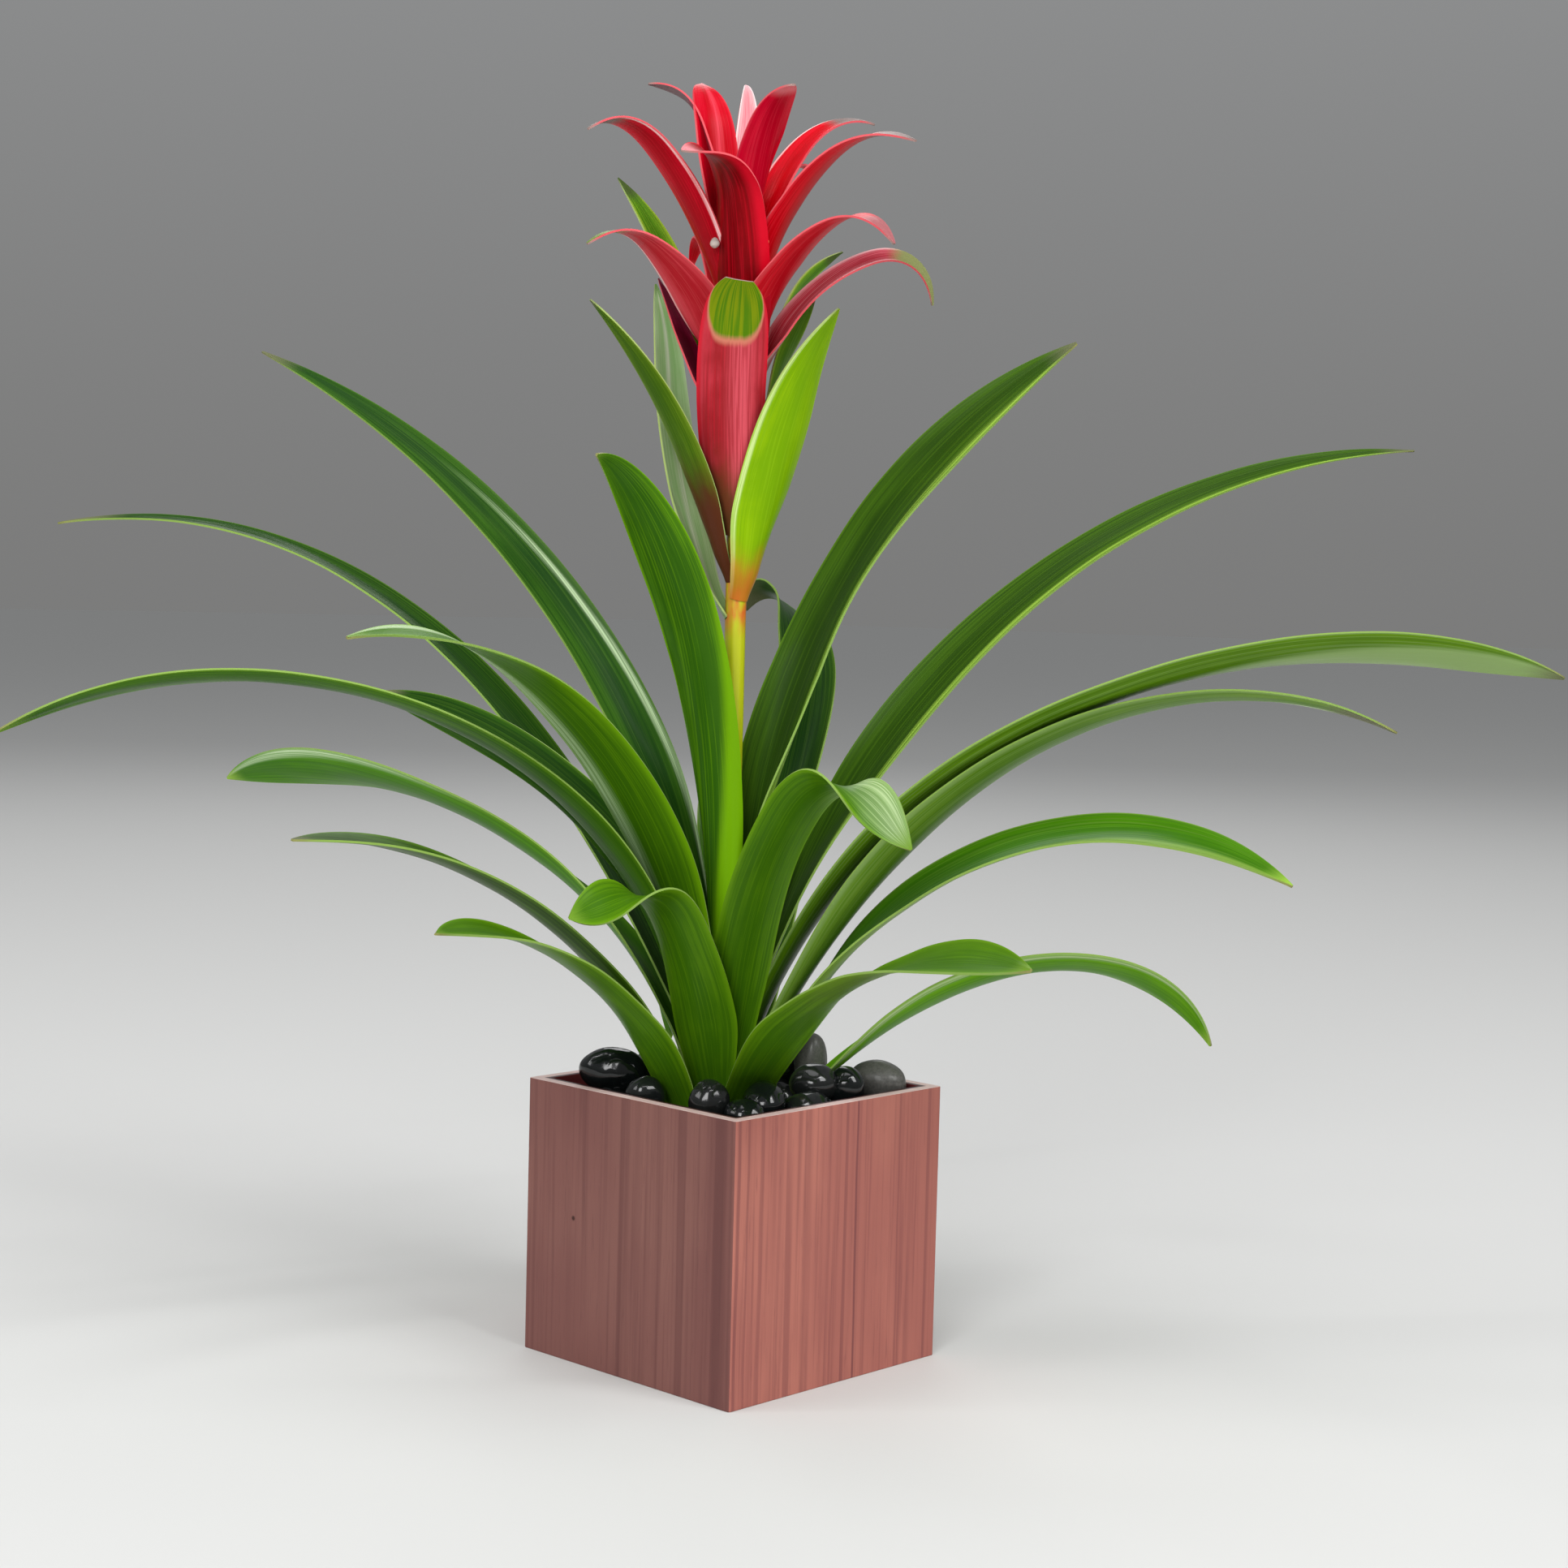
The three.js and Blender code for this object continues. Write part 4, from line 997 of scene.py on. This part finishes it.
for index, bract in enumerate(head_bracts):
    name = f"red_bract_{index + 1:02d}"
    piece = blade_sheet(
        name, bract, bract_grid, ["flower_head"], bract_thickness, head_ripple
    )
    mark_seed(piece, head_seed_start + index * head_seed_step)
    look = looks["bract_" + head_tones[index]]
    dress(piece, look, look, looks["bract_red_rim"])

core = bmesh.new()
core_profile = [
    (core_radii[0], core_foot),
    (core_radii[1], core_foot + (core_top - core_foot) * core_middle_at),
    (core_radii[2], core_top),
]
start = core.verts.new((0, 0, core_profile[0][1] * mm))
spun = [start]
previous = start
for radius, height in core_profile:
    vert = core.verts.new((radius * mm, 0, height * mm))
    spun.append(core.edges.new((previous, vert)))
    spun.append(vert)
    previous = vert
end = core.verts.new((0, 0, core_top * mm))
spun.append(core.edges.new((previous, end)))
spun.append(end)
bmesh.ops.spin(
    core, geom=spun, axis=(0, 0, 1), cent=(0, 0, 0), steps=core_sides, angle=math.tau,
    use_merge=True, use_duplicate=False,
)
bmesh.ops.remove_doubles(core, verts=core.verts, dist=0.01 * mm)
bmesh.ops.recalc_face_normals(core, faces=core.faces)
bmesh.ops.translate(core, verts=core.verts, vec=(stem_offset * mm, 0, 0))
bmesh.ops.rotate(core, verts=core.verts, cent=(0, 0, 0), matrix=plant_turn)
smooth_faces(core)
heart = new_piece("flower_core", core, ["flower_head"])
core_flesh = noisy_material(
    "core_flesh", 0.45, (300, 300, 30), 3, (0.3, 0.006, 0.015, 1), (0.5, 0.05, 0.03, 1)
)
dress(heart, core_flesh)

# Bud and flower: a pale round bud at the front left of the head, and the tip of a small tube-shaped
# flower, yellow below and red above. Each is a ball, stretched, narrowed upwards and slightly uneven.
small_parts = [
    ("round_bud", (-17.5, -12.5, 481.5), (2.1, 2.1, 2.3), (0.35, 0.3, 0.27, 1), (0.72, 0.66, 0.6, 1)),
    ("flower_tip", (4.2, -12.2, 484.6), (1.4, 1.4, 6.6), (0.8, 0.09, 0.02, 1), (0.95, 0.62, 0.22, 1)),
]
narrowing = 0.25
lump_unevenness = 0.06
for part_name, place, half, upper_colour, lower_colour in small_parts:
    lump = bmesh.new()
    for vert in bmesh.ops.create_icosphere(lump, subdivisions=3, radius=1)["verts"]:
        waist = 1 - narrowing * smoothstep(vert.co.z, -0.2, 1)
        body = Vector((vert.co.x * half[0] * waist, vert.co.y * half[1] * waist, vert.co.z * half[2]))
        body *= 1 + lump_unevenness * noise.noise(vert.co * 2 + Vector(place))
        vert.co = plant_turn @ (Vector(place) + body) * mm
    smooth_faces(lump)
    part = new_piece(part_name, lump, ["flower_head"])
    skin, skin_tree, skin_shader = new_material(part_name + "_skin", 0.4, 0.3)
    skin_place = object_place(skin_tree)
    skin_noise = stretched_noise(skin_tree, skin_place, (700, 700, 200), 3)
    skin_waver = math_node(skin_tree, "MULTIPLY", skin_noise, 2 * mm)
    skin_height = math_node(skin_tree, "ADD", split_vector(skin_tree, skin_place)["Z"], skin_waver)
    colour_low = (place[2] - half[2] / 2) * mm
    colour_high = (place[2] + half[2]) * mm
    skin_mask = mask_between(skin_tree, skin_height, colour_low, colour_high)
    paint(skin_tree, skin_shader, skin_mask, lower_colour, upper_colour)
    dress(part, skin)

# Pebbles: polished black river stones, heaped on the soil, with two grayish ones among them. Each is
# an ellipsoid at the place where the frame's heap has it, with a smooth and slightly uneven skin.
soil_top = 98
clearance = 0.3
heap_top = 134
pebble_sizes = ((11, 15), (9, 12), (8, 10))
pebble_tilt = 14
join_least = 3
join_most = 6.5
pebble_gap = 1.6
pebble_draws = 4000
drop_step = 0.5
inside_half = 57
stone_wave = 1.3
stone_wave_shift = 7.1
stone_unevenness = 0.05
stone_shrink = 0.02
tone_step = 0.03
draw_factor = 16807
draw_range = 2147483647
crown_radii = (23.1, 5.55)
crown_height = 159


class SeededDraw:
    def __init__(self, seed):
        self.state = seed

    def between(self, low, high):
        self.state = self.state * draw_factor % draw_range
        return low + (high - low) * self.state / draw_range


class Pebble:
    def __init__(self, half, tilt, spin):
        self.half = half
        self.turn = Matrix.Rotation(math.radians(spin), 3, "Z") @ Matrix.Rotation(math.radians(tilt), 3, "X")
        self.back = self.turn.transposed()
        self.centre = Vector()

    def reach(self, direction):
        inner = self.back @ direction
        return 1 / math.hypot(*(value / size for value, size in zip(inner, self.half)))

    def sunk(self, other):
        line = other.centre - self.centre
        apart = line.length
        line.normalize()
        return self.reach(line) + other.reach(line) - apart

    def clear(self, points):
        for point in points:
            inner = self.back @ (point - self.centre)
            if sum((value / (size + pebble_gap)) ** 2 for value, size in zip(inner, self.half)) <= 1:
                return False
        return True


probe_rows = 60
probe_columns = 8
low_points = []
for leaf in leaves:
    low_frames = blade_rows(leaf, probe_rows)
    for row in range(probe_rows + 1):
        for column in range(probe_columns + 1):
            side = column / (probe_columns / 2) - 1
            low_points.append(blade_point(leaf, low_frames, row, probe_rows, side))
for height in range(soil_top, math.ceil(heap_top + 2 * pebble_gap), 3):
    inwards = max(0, (height - leaf_ring_low[1]) / (crown_height - leaf_ring_low[1]))
    radius = crown_radii[0] + (crown_radii[1] - crown_radii[0]) * inwards
    for degrees in range(0, 360, 10):
        angle = math.radians(degrees)
        low_points.append(Vector((stem_offset + radius * math.cos(angle), radius * math.sin(angle), height)))
low_points = [plant_turn @ point for point in low_points if point.z < heap_top + 2 * pebble_gap]

shown_pebbles = [
    ((-53, -8, 125), (15.5, 10, 10.5), 8, -4),
    ((-38, -29, 118), (9, 7.5, 9), 10, 20),
    ((-10, -52, 120), (9, 8.5, 10.5), 0, 30),
    ((5, -63, 117), (9, 8, 7.5), 6, 0),
    ((31, -37, 116), (12, 8, 7.5), 0, 40),
    ((34, -22, 124), (11, 9, 9), 10, 10),
    ((48, -18, 122), (8.5, 8.5, 9.5), 0, 50),
    ((62, 3, 121), (13.5, 9.5, 10), 12, -20),
    ((33, 17, 127), (7.5, 8.5, 13.5), 8, 10),
]
pebbles = []
for centre, half, tilt, spin in shown_pebbles:
    pebble = Pebble(half, tilt, spin + plant_angle)
    pebble.centre = plant_turn @ Vector(centre)
    pebbles.append(pebble)
draw = SeededDraw(476728)


def drawn_pebble():
    half = [draw.between(*sizes) for sizes in pebble_sizes]
    pebble = Pebble(half, draw.between(-pebble_tilt, pebble_tilt), draw.between(0, 180))
    spread = [math.hypot(*(value * size for value, size in zip(row, half))) for row in pebble.turn]
    room = inside_half - clearance
    x = draw.between(spread[0] - room, room - spread[0])
    y = draw.between(spread[1] - room, room - spread[1])
    pebble.centre = Vector((x, y, soil_top + clearance + spread[2]))
    pebble.rise = spread[2]
    return pebble


def deepest(pebble):
    return max(pebble.sunk(other) for other in pebbles)


for _ in range(pebble_draws):
    pebble = drawn_pebble()
    if join_least < deepest(pebble) < join_most and pebble.clear(low_points):
        pebbles.append(pebble)
for _ in range(pebble_draws):
    pebble = drawn_pebble()
    lying = pebble.centre.z
    pebble.centre.z = heap_top - pebble.rise
    if deepest(pebble) > 0:
        continue
    while pebble.centre.z > lying and deepest(pebble) < join_least:
        pebble.centre.z -= drop_step
    if pebble.centre.z > lying and pebble.clear(low_points):
        pebbles.append(pebble)

stones = bmesh.new()
stone_tone = stones.verts.layers.float.new("tone")
gray_stones = {7: 0.9, 8: 1.0}
for number, pebble in enumerate(pebbles):
    made = bmesh.ops.create_icosphere(stones, subdivisions=4, radius=1)["verts"]
    tone = gray_stones.get(number, tone_step * (number % 3))
    for vert in made:
        wave = noise.noise(vert.co * stone_wave + Vector((number * stone_wave_shift, 0, 0)))
        uneven = 1 + stone_unevenness * wave - stone_shrink
        body = Vector([value * size for value, size in zip(vert.co, pebble.half)]) * uneven
        vert.co = (pebble.centre + pebble.turn @ body) * mm
        vert[stone_tone] = tone
smooth_faces(stones)
heap = new_piece("pebble_heap", stones, ["pebbles"])
stone, stone_tree, stone_shader = new_material("polished_stone", 0.12, 0.42, 0.1)
stone_place = object_place(stone_tree)
stone_kind = stone_tree.nodes.new("ShaderNodeAttribute")
stone_kind.attribute_name = "tone"
stone_clouds = stretched_noise(stone_tree, stone_place, (90, 90, 90), 5)
stone_specks = stretched_noise(stone_tree, stone_place, (900, 900, 900), 3)
black_stone = mixed_colour(stone_tree, stone_clouds, (0.0015, 0.002, 0.002, 1), (0.009, 0.012, 0.012, 1))
gray_stone = mixed_colour(stone_tree, stone_specks, (0.045, 0.043, 0.042, 1), (0.17, 0.165, 0.15, 1))
paint(stone_tree, stone_shader, stone_kind.outputs["Fac"], black_stone, gray_stone)
stone_gloss = math_node(
    stone_tree, "ADD", math_node(stone_tree, "MULTIPLY", stone_kind.outputs["Fac"], 0.3), 0.1
)
stone_tree.links.new(stone_gloss, stone_shader.inputs["Roughness"])
stone_waves = stretched_noise(stone_tree, stone_place, (150, 150, 60), 1, (4, 2, 6))
add_bump(stone_tree, stone_shader, stone_waves, 1.6 * mm, 0.6)
dress(heap, stone)
